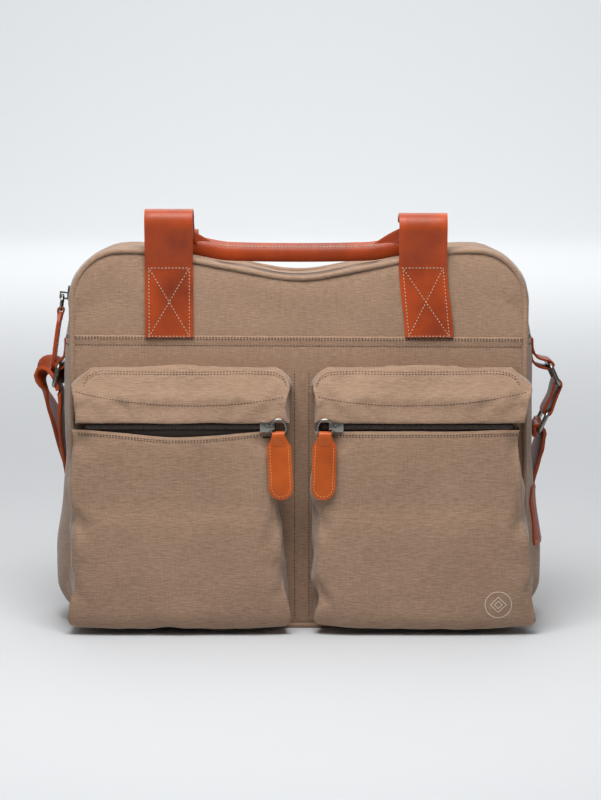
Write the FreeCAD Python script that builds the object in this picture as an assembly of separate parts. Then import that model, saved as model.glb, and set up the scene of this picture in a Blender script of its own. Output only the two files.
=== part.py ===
import FreeCAD, Part
import math
import os

# Canvas satchel bag with leather handles. Millimetres, +Z up, viewer's side at -Y.
# Origin: centre of the base, on the surface the bag stands on.

# overall sizes
body_width = 392.0
body_height = 320.0
body_depth = 104.0
base_radius = 30.0
top_radius = 46.0
top_sag = 25.0
sag_start = 130.0
yoke_height = 246.0

# sheet thicknesses
panel_cloth = 2.5
gusset_cloth = 2.0
lining_cloth = 0.8
board_thickness = 2.0
leather = 3.2
seam_gap = 0.1
piping_radius = 2.0

# zips, shared by the main zip and the pocket zips
zip_gap = 9.0
tape_width = 26.0
tape_thickness = 0.8
coil_width = 6.0
coil_height = 2.0
slider_length = 12.0
slider_width = 9.0
slider_plate = 1.2
slider_lift = 0.7
flange_thickness = 0.9
bridge_bar = 1.3
bridge_width = 3.0
ring_radius = 6.4
ring_wire = 1.1
running_gap = 0.3
pull_width = 20.0
pull_length = 57.0
pull_layer = 1.5
pull_neck = 6.0
slider_rest_angle = 8.0

# pockets
pocket_width = 180.0
pocket_height = 214.0
pocket_depth = 35.0
pocket_floor = 8.0
channel_width = 21.0
channel_shift = 2.5
hood_drop = 41.0
hood_fall = 3.0
hood_radius = 14.0
pocket_gap = 10.4

# handles
handle_width = 40.0
handle_spread = 108.0
handle_clear = 3.0
handle_rise = 29.0
handle_reach = 28.0
handle_drop = 22.0
rear_bend = 9.0
fold_gap = 1.2
grip_height = 13.0
grip_thickness = 8.0
grip_lift = 10.0
grip_half = 70.0

# side rings and shoulder strap
side_ring_wire = 2.0
side_ring_width = 46.0
side_ring_height = 22.0
tab_width = 34.0
tab_layer = 1.8
left_tab_reach = 8.0
right_tab_reach = 18.0
side_ring_level = 220.0
left_ring_lean = 14.0
right_ring_lean = 24.0
strap_width = 38.0
strap_thickness = 3.0
patch_height = 50.0
patch_width = 30.0
patch_thickness = 1.6

handle_pivot_height = body_height + handle_clear
half_depth = body_depth / 2
half_width = body_width / 2
gusset_edge = half_depth - panel_cloth - 0.6
# whatever is sewn on the front or back stands clear of the piping
seat = half_depth + piping_radius / 2 + seam_gap
X = FreeCAD.Vector(1, 0, 0)
Y = FreeCAD.Vector(0, 1, 0)
Z = FreeCAD.Vector(0, 0, 1)


def save(name, shape):
    shape.exportStep("parts/" + name + ".step")


def box(low, high):
    size = [b - a for a, b in zip(low, high)]
    return Part.makeBox(size[0], size[1], size[2], FreeCAD.Vector(*low))


def rod(start, end, radius):
    run = end - start
    return Part.makeCylinder(radius, run.Length, start, run)


# Straight runs joined by tangent arcs. Each corner is a point and its radius.
def rounded_path(corners, closed):
    count = len(corners)
    edges = []
    pen = None
    first = None
    for index, (point, radius) in enumerate(corners):
        inner = closed or 0 < index < count - 1
        if not inner or radius == 0:
            start = point
            end = point
            arc = None
        else:
            before = (corners[index - 1][0] - point).normalize()
            after = (corners[(index + 1) % count][0] - point).normalize()
            half = before.getAngle(after) / 2
            start = point + before * (radius / math.tan(half))
            end = point + after * (radius / math.tan(half))
            middle = point + (before + after).normalize() * (radius / math.sin(half) - radius)
            arc = Part.Arc(start, middle, end).toShape()
        if pen is None:
            first = start
        elif pen.distanceToPoint(start) > 1e-6:
            edges.append(Part.LineSegment(pen, start).toShape())
        if arc:
            edges.append(arc)
        pen = end
    if closed and pen.distanceToPoint(first) > 1e-6:
        edges.append(Part.LineSegment(pen, first).toShape())
    return Part.Wire(edges)


# Outline of the bag seen from the front, moved inwards by inset.
def outline(inset, y):
    sides = [
        (-half_width, 0, base_radius),
        (half_width, 0, base_radius),
        (half_width, body_height, top_radius),
        (sag_start, body_height, 160),
        (0, body_height - top_sag, 120),
        (-sag_start, body_height, 160),
        (-half_width, body_height, top_radius),
    ]
    wire = rounded_path([(FreeCAD.Vector(x, y, z), radius) for x, z, radius in sides], True)
    if inset == 0:
        return wire
    return wire.makeOffset2D(-inset)


def sheet(inset, y, thickness):
    return Part.Face(outline(inset, y)).extrude(Y * thickness)


def band(outer, inner, low_y, high_y):
    ring = Part.Face(outline(outer, low_y)).cut(Part.Face(outline(inner, low_y)))
    return ring.extrude(Y * (high_y - low_y))


def between(shape, low_x, high_x, low_z, high_z):
    room = 500
    return shape.common(box((low_x, -room, low_z), (high_x, room, high_z)))


def above(shape, level):
    return between(shape, -500, 500, level, 500)


def below(shape, level):
    return between(shape, -500, 500, -500, level)


# A strip of even thickness that follows a path, extruded along one axis.
def strip(corners, thickness, direction, width):
    path = rounded_path(corners, False)
    face = path.makeOffset2D(thickness, fill=True, openResult=True)
    return face.extrude(direction * width)


# A closed rectangular or round ring of wire, made from a closed path.
def wire_ring(corners, radius):
    path = rounded_path(corners, True)
    start = path.Edges[0].valueAt(path.Edges[0].FirstParameter)
    heading = path.Edges[0].tangentAt(path.Edges[0].FirstParameter)
    section = Part.Wire([Part.makeCircle(radius, start, heading)])
    return path.makePipeShell([section], True, True)


def make_shell():
    panel_inset = 2 * piping_radius + seam_gap
    front = sheet(panel_inset, -half_depth, panel_cloth)
    save("front_upper_panel", above(front, yoke_height))
    save("front_lower_panel", below(front, yoke_height - seam_gap))
    save("back_panel", sheet(panel_inset, half_depth - panel_cloth, panel_cloth))
    save("lining_front", sheet(panel_inset + 2, -half_depth + panel_cloth + seam_gap, lining_cloth))
    back_lining = half_depth - panel_cloth - seam_gap - lining_cloth
    save("lining_back", sheet(panel_inset + 2, back_lining, lining_cloth))

    wall = band(0, gusset_cloth, -gusset_edge, gusset_edge)
    flat = half_width - base_radius - 10
    save("side_gusset_left", between(wall, -500, -flat, -1, yoke_height))
    save("side_gusset_right", between(wall, flat, 500, -1, yoke_height))
    save("base_panel", between(wall, -flat + seam_gap, flat - seam_gap, -1, 50))
    margin = 6.0
    board_low = (-flat, -gusset_edge + margin, gusset_cloth + seam_gap)
    board_high = (flat, gusset_edge - margin, gusset_cloth + seam_gap + board_thickness)
    save("base_board", box(board_low, board_high))

    for name, low_y, high_y in (
        ("top_gusset_front", -gusset_edge, -zip_gap),
        ("top_gusset_back", zip_gap, gusset_edge),
    ):
        save(name, above(band(0, gusset_cloth, low_y, high_y), yoke_height + seam_gap))

    tape_top = coil_height + seam_gap
    tape = band(tape_top, tape_top + tape_thickness, -tape_width / 2, tape_width / 2)
    save("main_zip_tape", above(tape, yoke_height + 3))
    coil = band(0, coil_height, -coil_width / 2, coil_width / 2)
    save("main_zip_coil", above(coil, yoke_height + 3))

    for name, side_y in (("front_piping", -1), ("back_piping", 1)):
        centre = side_y * (half_depth - piping_radius / 2)
        path = outline(piping_radius, centre)
        edge = path.Edges[0]
        start = edge.valueAt(edge.FirstParameter)
        section = Part.Wire([Part.makeCircle(piping_radius, start, edge.tangentAt(edge.FirstParameter))])
        save(name, path.makePipeShell([section], True, True))


# Zip slider in its own frame: travel along +X, out of the cloth along +Z, coil top at Z = 0.
# The bridge is at the -X end and the ring's wire runs through it along Y.
ring_wire_x = -2.8
ring_level = slider_lift + slider_plate + 3.8


def slider_shape():
    half = slider_length / 2
    plate_top = slider_lift + slider_plate
    plate = box((-half, -slider_width / 2, slider_lift), (half, slider_width / 2, plate_top))
    inner = coil_width / 2 + running_gap + 0.2
    foot = -coil_height + running_gap
    for sign in (-1, 1):
        y_pair = sorted((sign * inner, sign * (inner + flange_thickness)))
        plate = plate.fuse(box((-half, y_pair[0], foot), (half, y_pair[1], slider_lift)))
    bar_low = ring_level + ring_wire + 0.4
    bar_high = bar_low + bridge_bar
    side = bridge_width / 2
    leg_gap = ring_wire + 0.7
    leg_a = ring_wire_x - leg_gap
    leg_b = ring_wire_x + leg_gap
    plate = plate.fuse(box((leg_a - bridge_bar, -side, plate_top), (leg_a, side, bar_high)))
    plate = plate.fuse(box((leg_b, -side, plate_top), (leg_b + bridge_bar, side, bar_high)))
    plate = plate.fuse(box((leg_a, -side, bar_low), (leg_b, side, bar_high)))
    return plate.removeSplitter()


def ring_shape():
    centre = FreeCAD.Vector(ring_wire_x - ring_radius, 0, ring_level)
    return Part.makeTorus(ring_radius, ring_wire, centre, Z)


# Leather pull in its own frame: folded round the ring's wire along X, hanging along -Z.
def pull_shape():
    hole = ring_radius - math.sqrt((ring_radius - ring_wire) ** 2 - (pull_neck / 2) ** 2) + running_gap
    start = FreeCAD.Vector(-pull_neck / 2, 0, 0)
    end = FreeCAD.Vector(pull_neck / 2, 0, 0)
    loop = rod(start, end, hole + pull_layer)
    half = pull_width / 2
    shoulder = 16.0
    low = -pull_length
    corners = [
        (FreeCAD.Vector(-pull_neck / 2, -pull_layer, 0), 0),
        (FreeCAD.Vector(pull_neck / 2, -pull_layer, 0), 0),
        (FreeCAD.Vector(pull_neck / 2, -pull_layer, -hole - 2), 2),
        (FreeCAD.Vector(half, -pull_layer, -shoulder), 8),
        (FreeCAD.Vector(half, -pull_layer, low), half - 0.01),
        (FreeCAD.Vector(-half, -pull_layer, low), half - 0.01),
        (FreeCAD.Vector(-half, -pull_layer, -shoulder), 8),
        (FreeCAD.Vector(-pull_neck / 2, -pull_layer, -hole - 2), 2),
    ]
    blade = Part.Face(rounded_path(corners, True)).extrude(Y * (2 * pull_layer))
    return loop.fuse(blade).cut(rod(start - X, end + X, hole)).removeSplitter()


def turned(shape, origin, along, outward):
    across = outward.cross(along)
    place = FreeCAD.Matrix(
        along.x, across.x, outward.x, origin.x,
        along.y, across.y, outward.y, origin.y,
        along.z, across.z, outward.z, origin.z,
        0, 0, 0, 1,
    )
    return shape.transformed(place)


def make_main_slider():
    tilt = math.radians(slider_rest_angle)
    along = FreeCAD.Vector(math.sin(tilt), 0, math.cos(tilt))
    outward = FreeCAD.Vector(-math.cos(tilt), 0, math.sin(tilt))
    corner = FreeCAD.Vector(-half_width + top_radius, 0, body_height - top_radius)
    origin = corner + outward * top_radius
    save("main_slider", turned(slider_shape(), origin, along, outward))
    save("main_pull_ring", turned(ring_shape(), origin, along, outward))
    hook = origin + outward * ring_level + along * (ring_wire_x - 2 * ring_radius)
    pull = turned(pull_shape(), FreeCAD.Vector(0, 0, 0), Y, along)
    pull.translate(hook)
    save("main_pull", pull)
    bridge = origin + outward * ring_level + along * ring_wire_x
    print("main slider corner", corner, "ring hinge", bridge, "pull hinge", hook)


def pocket_edges(side):
    inner = channel_shift + side * channel_width / 2
    return inner, inner + side * pocket_width


def make_pocket(name, side):
    inner, outer = pocket_edges(side)
    low_x = min(inner, outer)
    high_x = max(inner, outer)
    top = pocket_floor + pocket_height
    front = -half_depth - pocket_depth
    hood_edge = top - hood_drop
    face_top = hood_edge - pocket_gap
    skin = panel_cloth

    face = box((low_x, front, pocket_floor), (high_x, front + skin, face_top))
    save(name + "_pocket_face", face)

    hood_path = [
        (FreeCAD.Vector(low_x, -seat, top - skin), 0),
        (FreeCAD.Vector(low_x, front + skin, top - skin - hood_fall), hood_radius),
        (FreeCAD.Vector(low_x, front + skin, hood_edge), 0),
    ]
    path = rounded_path(hood_path, False)
    hood = path.makeOffset2D(skin, fill=True, openResult=True)
    if hood.CenterOfMass.z < path.CenterOfMass.z:
        hood = path.makeOffset2D(-skin, fill=True, openResult=True)
    save(name + "_pocket_hood", hood.extrude(X * pocket_width))

    wall_front = front + skin + seam_gap
    under = top - 2 * skin - hood_fall
    for label, edge in (("inner", inner), ("outer", outer)):
        start = edge if edge == low_x else edge - gusset_cloth
        profile = [
            (FreeCAD.Vector(start, -seat, pocket_floor), 0),
            (FreeCAD.Vector(start, wall_front, pocket_floor), 0),
            (FreeCAD.Vector(start, wall_front, top - hood_fall - hood_radius - 4), 0),
            (FreeCAD.Vector(start, wall_front + 10, under - 4), 0),
            (FreeCAD.Vector(start, -seat, under), 0),
        ]
        wall = Part.Face(rounded_path(profile, True)).extrude(X * gusset_cloth)
        save(name + "_pocket_gusset_" + label, wall)

    inside_low = low_x + gusset_cloth + seam_gap
    inside_high = high_x - gusset_cloth - seam_gap
    floor_low = (inside_low, wall_front, pocket_floor)
    floor_high = (inside_high, -seat, pocket_floor + gusset_cloth)
    save(name + "_pocket_gusset_bottom", box(floor_low, floor_high))

    middle = hood_edge - pocket_gap / 2
    tape_front = front + skin + seam_gap
    tape_low = (inside_low, tape_front, middle - tape_width / 2 + 3)
    tape_high = (inside_high, tape_front + tape_thickness, middle + tape_width / 2 - 3)
    save(name + "_zip_tape", box(tape_low, tape_high))
    coil_low = (inside_low, tape_front - coil_height, middle - coil_width / 2)
    coil_high = (inside_high, tape_front - seam_gap, middle + coil_width / 2)
    save(name + "_zip_coil", box(coil_low, coil_high))

    start = inner + side * 18
    origin = FreeCAD.Vector(start, tape_front - coil_height, middle)
    along = X * side
    save(name + "_slider", turned(slider_shape(), origin, along, -Y))
    save(name + "_pull_ring", turned(ring_shape(), origin, along, -Y))
    hook = origin - Y * ring_level + along * (ring_wire_x - ring_radius) - Z * ring_radius
    pull = pull_shape()
    pull.translate(hook)
    save(name + "_pull", pull)
    print(name, "ring hinge", origin - Y * ring_level + along * ring_wire_x, "pull hinge", hook)
    print(name, "travel", pocket_width - 2 * gusset_cloth - 18 - slider_length)


# Profile of a handle strap from its pivot, in the YZ plane; side is -1 at the front.
def strap_arch(x, corners):
    path = rounded_path([(FreeCAD.Vector(x, y, z), radius) for y, z, radius in corners], False)
    half = leather / 2
    outer = path.makeOffset2D(half, fill=False, openResult=True)
    inner = path.makeOffset2D(-half, fill=False, openResult=True)
    ends = []
    for index in (0, -1):
        first = outer.OrderedVertexes[index].Point
        second = inner.OrderedVertexes[index].Point
        ends.append(Part.LineSegment(first, second).toShape())
    loop = Part.Wire(Part.__sortEdges__(outer.Edges + inner.Edges + ends))
    return Part.Face(loop).extrude(X * handle_width), path.Length


def make_handle(name, corners, grip_y, grip_level):
    length = 0
    for label, sign in (("left", -1), ("right", 1)):
        start = sign * handle_spread - handle_width / 2
        arch, length = strap_arch(start, corners)
        save(name + "_handle_strap_" + label, arch)
    half = grip_height / 2
    reach = handle_spread
    line = [(-reach, grip_lift), (-grip_half, 0), (grip_half, 0), (reach, grip_lift)]
    lower = [(FreeCAD.Vector(x, grip_y, grip_level + z - half), 40) for x, z in line]
    upper = [(FreeCAD.Vector(x, grip_y, grip_level + z + half), 40) for x, z in reversed(line)]
    edges = rounded_path(lower, False).Edges + rounded_path(upper, False).Edges
    for first, second in ((lower[-1], upper[0]), (upper[-1], lower[0])):
        edges.append(Part.LineSegment(first[0], second[0]).toShape())
    grip = Part.Face(Part.Wire(Part.__sortEdges__(edges))).extrude(Y * grip_thickness)
    save(name + "_handle_grip", grip)
    return length


def make_handles():
    pivot_y = seat + leather / 2
    tab_top = handle_pivot_height - leather / 2 - fold_gap
    for name, side in (("front", -1), ("rear", 1)):
        for label, sign in (("left", -1), ("right", 1)):
            x = sign * handle_spread
            y_pair = sorted((side * seat, side * (seat + leather)))
            low = (x - handle_width / 2, y_pair[0], yoke_height)
            high = (x + handle_width / 2, y_pair[1], tab_top)
            save(name + "_handle_tab_" + label, box(low, high))

    level = handle_pivot_height
    crest = level + handle_rise
    front = [
        (-pivot_y, level, 0),
        (-pivot_y - 6, crest, 14),
        (-pivot_y + handle_reach - 3, crest, 11),
        (-pivot_y + handle_reach, level + handle_drop - 15, 0),
    ]
    grip_level = level + handle_drop - 15 - 11
    behind = -pivot_y + handle_reach + leather / 2 + seam_gap
    length = make_handle("front", front, behind, grip_level)

    bend_length = rear_bend + math.pi / 2 * rear_bend
    hang = level - rear_bend - (length - bend_length)
    rear = [
        (pivot_y, level, 0),
        (pivot_y + 2 * rear_bend, level, rear_bend),
        (pivot_y + 2 * rear_bend, hang, 0),
    ]
    outside = pivot_y + 2 * rear_bend + leather / 2 + seam_gap
    make_handle("rear", rear, outside, hang - 5)
    print("handle pivots", -pivot_y, pivot_y, level, "strap length", length, "rear end", hang)


# Rectangular ring with its top bar on the Y axis at the origin, hanging along -Z.
def side_ring_shape():
    half = side_ring_width / 2 - side_ring_wire
    low = -(side_ring_height - 2 * side_ring_wire)
    corners = [(0, -half, 0), (0, half, 0), (0, half, low), (0, -half, low)]
    return wire_ring([(FreeCAD.Vector(*corner), 4.0) for corner in corners], side_ring_wire)


def make_side_rings():
    hole = side_ring_wire + running_gap
    half = tab_width / 2
    for name, side, reach, lean in (
        ("left", -1, left_tab_reach, left_ring_lean),
        ("right", 1, right_tab_reach, right_ring_lean),
    ):
        hinge = FreeCAD.Vector(side * (half_width + reach), 0, side_ring_level)
        loop = rod(hinge - Y * half, hinge + Y * half, hole + tab_layer)
        x_pair = sorted((side * (half_width + seam_gap), hinge.x))
        web = box((x_pair[0], -half, hinge.z - tab_layer), (x_pair[1], half, hinge.z + tab_layer))
        sewn = sorted((side * (half_width + seam_gap), side * (half_width + seam_gap + tab_layer)))
        foot = box((sewn[0], -half, hinge.z - tab_layer), (sewn[1], half, hinge.z + 24))
        tab = loop.fuse(web).fuse(foot)
        tab = tab.cut(rod(hinge - Y * (half + 1), hinge + Y * (half + 1), hole))
        save("side_ring_tab_" + name, tab.removeSplitter())
        ring = side_ring_shape()
        ring.rotate(FreeCAD.Vector(0, 0, 0), Y, -side * lean)
        ring.translate(hinge)
        save("side_ring_" + name, ring)
        print("side ring hinge", name, hinge)
    patch_low = (half_width + seam_gap, -patch_width - 8, 68)
    patch_high = (half_width + seam_gap + patch_thickness, -8, 68 + patch_height)
    save("side_patch_right", box(patch_low, patch_high))


# Route of the shoulder strap: centre and width direction at each station. The first and last
# stations keep their distance from the gussets.
side = half_width
strap_route = [
    ((-side - 18.5, 0, 204), (0, 1, 0)),
    ((-side - 26, 12, 189), (0, 1, 0.2)),
    ((-side - 25, 27, 177), (0, 0.9, 0.5)),
    ((-side - 18, 46, 160), (0, 0.8, 0.6)),
    ((-side - 10, 66, 134), (0.1, 0.8, 0.6)),
    ((-side + 2, 84, 100), (0.3, 0.8, 0.5)),
    ((-side + 18, 98, 60), (0.5, 0.8, 0.3)),
    ((-side + 38, 106, 28), (0.5, 0.85, 0.1)),
    ((-126, 116, 9), (0.25, 0.95, 0)),
    ((-80, 136, 2.6), (-0.3, 0.95, 0)),
    ((-20, 150, 2.6), (-0.05, 1, 0)),
    ((40, 146, 2.6), (0.15, 1, 0)),
    ((96, 132, 4), (0.25, 1, 0)),
    ((side - 50, 114, 14), (0, 1, 0)),
    ((side - 20, 98, 40), (-0.4, 0.9, 0.2)),
    ((side - 4, 84, 76), (-0.3, 0.85, 0.45)),
    ((side + 7, 62, 106), (-0.1, 0.85, 0.5)),
    ((side + 11, 34, 130), (0, 0.9, 0.4)),
    ((side + 12, 12, 148), (0, 1, 0.2)),
]
tail_route = [
    ((-side - 7, 1, 190), (0, 1, 0)),
    ((-side - 9, 5, 174), (0, 1, 0.2)),
    ((-side - 7, 24, 148), (0, 0.9, 0.45)),
    ((-side - 5, 44, 122), (0, 0.85, 0.5)),
]
left_end = 6
right_end = 14


# Leather ribbon through part of a route. Sections face along the whole route.
def ribbon(route, first, last):
    sections = []
    for index in range(first, last + 1):
        before = FreeCAD.Vector(*route[max(index - 1, 0)][0])
        after = FreeCAD.Vector(*route[min(index + 1, len(route) - 1)][0])
        heading = (after - before).normalize()
        across = FreeCAD.Vector(*route[index][1])
        thick = heading.cross(across).normalize() * (strap_thickness / 2)
        wide = thick.cross(heading).normalize() * (strap_width / 2)
        here = FreeCAD.Vector(*route[index][0])
        corners = [here + wide + thick, here - wide + thick, here - wide - thick, here + wide - thick]
        sections.append(Part.makePolygon(corners + [corners[0]]))
    return Part.makeLoft(sections, True, True)


def make_shoulder_strap():
    save("shoulder_strap_left", ribbon(strap_route, 0, left_end))
    save("shoulder_strap_behind", ribbon(strap_route, left_end, right_end))
    save("shoulder_strap_right", ribbon(strap_route, right_end, len(strap_route) - 1))
    save("shoulder_strap_tail", ribbon(tail_route, 0, len(tail_route) - 1))

    hinge = FreeCAD.Vector(half_width + right_tab_reach, 0, side_ring_level)
    lean = math.radians(right_ring_lean)
    drop = side_ring_height - 2 * side_ring_wire
    bar = hinge + FreeCAD.Vector(math.sin(lean), 0, -math.cos(lean)) * drop
    buckle_bar = bar + FreeCAD.Vector(-9, 0, -24)
    half = tab_width / 2
    hole = side_ring_wire + running_gap
    width = Y * half
    loops = rod(bar - width, bar + width, hole + tab_layer)
    loops = loops.fuse(rod(buckle_bar - width, buckle_bar + width, hole + tab_layer))
    down = (buckle_bar - bar).normalize()
    flat = down.cross(Y).normalize() * tab_layer
    corners = [bar + flat, bar - flat, buckle_bar - flat, buckle_bar + flat]
    web = Part.Face(Part.makePolygon(corners + [corners[0]])).extrude(Y * tab_width)
    web.translate(-width)
    connector = loops.fuse(web)
    connector = connector.cut(rod(bar - width - Y, bar + width + Y, hole))
    connector = connector.cut(rod(buckle_bar - width - Y, buckle_bar + width + Y, hole))
    save("strap_connector", connector.removeSplitter())
    buckle = side_ring_shape()
    buckle.rotate(FreeCAD.Vector(0, 0, 0), Y, 25)
    buckle.translate(buckle_bar)
    save("strap_buckle", buckle)
    print("ring lower bar", bar, "buckle bar", buckle_bar)


os.makedirs("parts", exist_ok=True)
make_shell()
make_main_slider()
make_pocket("left", -1)
make_pocket("right", 1)
make_handles()
make_side_rings()
make_shoulder_strap()
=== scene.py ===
import math

import bmesh
import bpy
from mathutils import Matrix, Vector, noise
from mathutils.bvhtree import BVHTree


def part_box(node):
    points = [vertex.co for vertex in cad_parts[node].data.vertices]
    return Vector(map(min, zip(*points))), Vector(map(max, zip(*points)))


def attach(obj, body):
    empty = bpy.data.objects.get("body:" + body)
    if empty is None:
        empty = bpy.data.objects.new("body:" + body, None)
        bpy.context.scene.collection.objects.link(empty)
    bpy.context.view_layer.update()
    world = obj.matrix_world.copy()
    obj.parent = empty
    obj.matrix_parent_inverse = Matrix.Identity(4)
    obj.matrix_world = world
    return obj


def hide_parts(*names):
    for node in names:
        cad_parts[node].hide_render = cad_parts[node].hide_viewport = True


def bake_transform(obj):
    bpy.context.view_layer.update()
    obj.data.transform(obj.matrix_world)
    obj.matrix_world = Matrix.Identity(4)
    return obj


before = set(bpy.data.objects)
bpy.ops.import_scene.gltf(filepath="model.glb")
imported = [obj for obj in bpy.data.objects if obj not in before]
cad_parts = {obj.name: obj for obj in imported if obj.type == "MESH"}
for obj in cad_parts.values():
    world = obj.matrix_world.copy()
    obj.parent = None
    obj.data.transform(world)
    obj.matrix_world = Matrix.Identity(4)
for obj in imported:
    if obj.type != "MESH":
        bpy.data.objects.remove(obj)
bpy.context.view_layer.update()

mm = 0.001
xAxis = Vector((1, 0, 0))
yAxis = Vector((0, 1, 0))
zAxis = Vector((0, 0, 1))
scene = bpy.context.scene
print("frame loaded")


# Small helpers.

def hexColour(text):
    channels = [int(text[i:i + 2], 16) / 255 for i in (0, 2, 4)]
    return [c / 12.92 if c < 0.04045 else ((c + 0.055) / 1.055) ** 2.4 for c in channels] + [1]


def addNode(tree, kind, settings=(), links=()):
    node = tree.nodes.new("ShaderNode" + kind)
    for key, value in dict(settings).items():
        if isinstance(key, str) and hasattr(node, key):
            setattr(node, key, value)
        else:
            node.inputs[key].default_value = value
    for key, source in dict(links).items():
        tree.links.new(source, node.inputs[key])
    return node


def startMaterial(name):
    material = bpy.data.materials.new(name)
    material.use_nodes = True
    tree = material.node_tree
    tree.nodes.clear()
    return material, tree


def endMaterial(tree, settings, links, bumps):
    normal = None
    for height, distance, strength in bumps:
        joins = {"Height": height}
        if normal:
            joins["Normal"] = normal
        step = addNode(tree, "Bump", {"Strength": strength, "Distance": distance}, joins)
        normal = step.outputs["Normal"]
    if normal:
        links = dict(links, Normal=normal)
    shader = addNode(tree, "BsdfPrincipled", settings, links)
    addNode(tree, "OutputMaterial", (), {"Surface": shader.outputs[0]})


def shadeSmooth(piece):
    for face in piece.data.polygons:
        face.use_smooth = True


def finishPiece(name, bm, body, material, replaced=()):
    mesh = bpy.data.meshes.new(name)
    bm.normal_update()
    bm.to_mesh(mesh)
    bm.free()
    piece = bpy.data.objects.new(name, mesh)
    scene.collection.objects.link(piece)
    mesh.materials.append(material)
    shadeSmooth(piece)
    if body:
        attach(piece, body)
    if replaced:
        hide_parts(*replaced)
    return piece


def applyModifiers(piece):
    graph = bpy.context.evaluated_depsgraph_get()
    mesh = bpy.data.meshes.new_from_object(piece.evaluated_get(graph))
    piece.modifiers.clear()
    piece.data = mesh
    shadeSmooth(piece)


# A flat grid from -1 to 1 in x and y, to be mapped onto a shape.
def gridMesh(across, along):
    bm = bmesh.new()
    bmesh.ops.create_grid(bm, x_segments=across, y_segments=along, size=1)
    return bm


def newVerts(geom):
    return [g for g in geom if isinstance(g, bmesh.types.BMVert)]


def newEdges(geom):
    return [g for g in geom if isinstance(g, bmesh.types.BMEdge)]


def boundary(bm):
    return [e for e in bm.edges if e.is_boundary]


def treeOf(*pieces):
    verts = []
    faces = []
    for piece in pieces:
        base = len(verts)
        verts += [v.co.copy() for v in piece.data.vertices]
        faces += [[base + i for i in p.vertices] for p in piece.data.polygons]
    return BVHTree.FromPolygons(verts, faces)


def smoothStep(low, high, value):
    t = max(0.0, min(1.0, (value - low) / (high - low)))
    return t * t * (3 - 2 * t)


def nearSegment(point, start, end):
    run = end - start
    t = max(0.0, min(1.0, (point - start).dot(run) / run.length_squared))
    return (point - start - run * t).length, t


# Camera, stage and light. The camera looks slightly down.

view = {
    "lens": 118.0,
    "distance": 2.2,
    "elevation": 6.5,
    "target": Vector((1.5, -52, 194)) * mm,
}
tilt = math.radians(view["elevation"])
cameraData = bpy.data.cameras.new("camera")
cameraData.lens = view["lens"]
camera = bpy.data.objects.new("camera", cameraData)
camera.location = view["target"] + Vector((0, -math.cos(tilt), math.sin(tilt))) * view["distance"]
camera.rotation_euler = (math.radians(90) - tilt, 0, 0)
scene.collection.objects.link(camera)
scene.camera = camera

studio = {
    "floorRadius": 6.5,
    "coveRadius": 2.5,
    "wallHeight": 2.0,
    "paper": "C9CBCD",
    "air": "F2F4F6",
    "airStrength": 0.3,
    "lamps": {   # place, aim, size, power
        "keyLamp": ((-0.3, -0.3, 2.2), (0, 0, 0.1), 1.1, 3),
        "nearLamp": ((-0.05, -0.5, 0.95), (0, 0, 0.26), 0.6, 10),
        "topLamp": ((0, 1.6, 3.6), (0, 1.6, 0), 4.5, 56),
        "farLamp": ((0, 5.2, 3.6), (0, 6.2, 0), 4.5, 220),
    },
}


# Matt paper roll: even, pale, no gloss.
def paperMaterial():
    material, tree = startMaterial("mattPaper")
    endMaterial(tree, {"Base Color": hexColour(studio["paper"]), "Roughness": 0.9}, {}, [])
    return material


# Round cove: a floor that curves up into a wall on every side.
def makeStage():
    bm = bmesh.new()
    edgeRadius = studio["floorRadius"]
    cove = studio["coveRadius"]
    middle = bm.verts.new((0, 0, 0))
    foot = bm.verts.new((edgeRadius, 0, 0))
    bm.edges.new((middle, foot))
    bend = bmesh.ops.spin(bm, geom=[foot], cent=(edgeRadius, 0, cove), axis=(0, 1, 0),
                          angle=-math.pi / 2, steps=16)
    rise = bmesh.ops.extrude_vert_indiv(bm, verts=newVerts(bend["geom_last"]))
    bmesh.ops.translate(bm, verts=rise["verts"], vec=(0, 0, studio["wallHeight"]))
    bmesh.ops.spin(bm, geom=bm.verts[:] + bm.edges[:], cent=(0, 0, 0), axis=(0, 0, 1),
                   angle=2 * math.pi, steps=96, use_merge=True)
    bmesh.ops.remove_doubles(bm, verts=bm.verts[:], dist=0.1 * mm)
    bmesh.ops.recalc_face_normals(bm, faces=bm.faces[:])
    if min(bm.faces, key=lambda f: f.calc_center_median().length).normal.z < 0:
        bmesh.ops.reverse_faces(bm, faces=bm.faces[:])
    mesh = bpy.data.meshes.new("stage")
    bm.to_mesh(mesh)
    bm.free()
    stage = bpy.data.objects.new("stage", mesh)
    mesh.materials.append(paperMaterial())
    shadeSmooth(stage)
    scene.collection.objects.link(stage)


def addLamp(name, place, aim, size, power):
    data = bpy.data.lights.new(name, "AREA")
    data.shape = "DISK"
    data.size = size
    data.energy = power
    lamp = bpy.data.objects.new(name, data)
    lamp.location = place
    lamp.rotation_euler = (Vector(aim) - Vector(place)).to_track_quat("-Z", "Y").to_euler()
    scene.collection.objects.link(lamp)


makeStage()
world = bpy.data.worlds.new("studioAir")
world.use_nodes = True
air = world.node_tree.nodes["Background"]
air.inputs[0].default_value = hexColour(studio["air"])
air.inputs[1].default_value = studio["airStrength"]
scene.world = world
for name, lamp in studio["lamps"].items():
    addLamp(name, *lamp)
scene.view_settings.view_transform = "Standard"
print("camera and stage done")


# Materials.

def noiseOf(tree, place, scale, detail, rough=0.5):
    settings = {"Scale": scale, "Detail": detail, "Roughness": rough}
    return addNode(tree, "TexNoise", settings, {"Vector": place}).outputs["Fac"]


def rangeOf(tree, source, fromLow=0.0, fromHigh=1.0, toLow=0.0, toHigh=1.0):
    settings = {"From Min": fromLow, "From Max": fromHigh, "To Min": toLow, "To Max": toHigh}
    return addNode(tree, "MapRange", settings, {"Value": source}).outputs[0]


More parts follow.
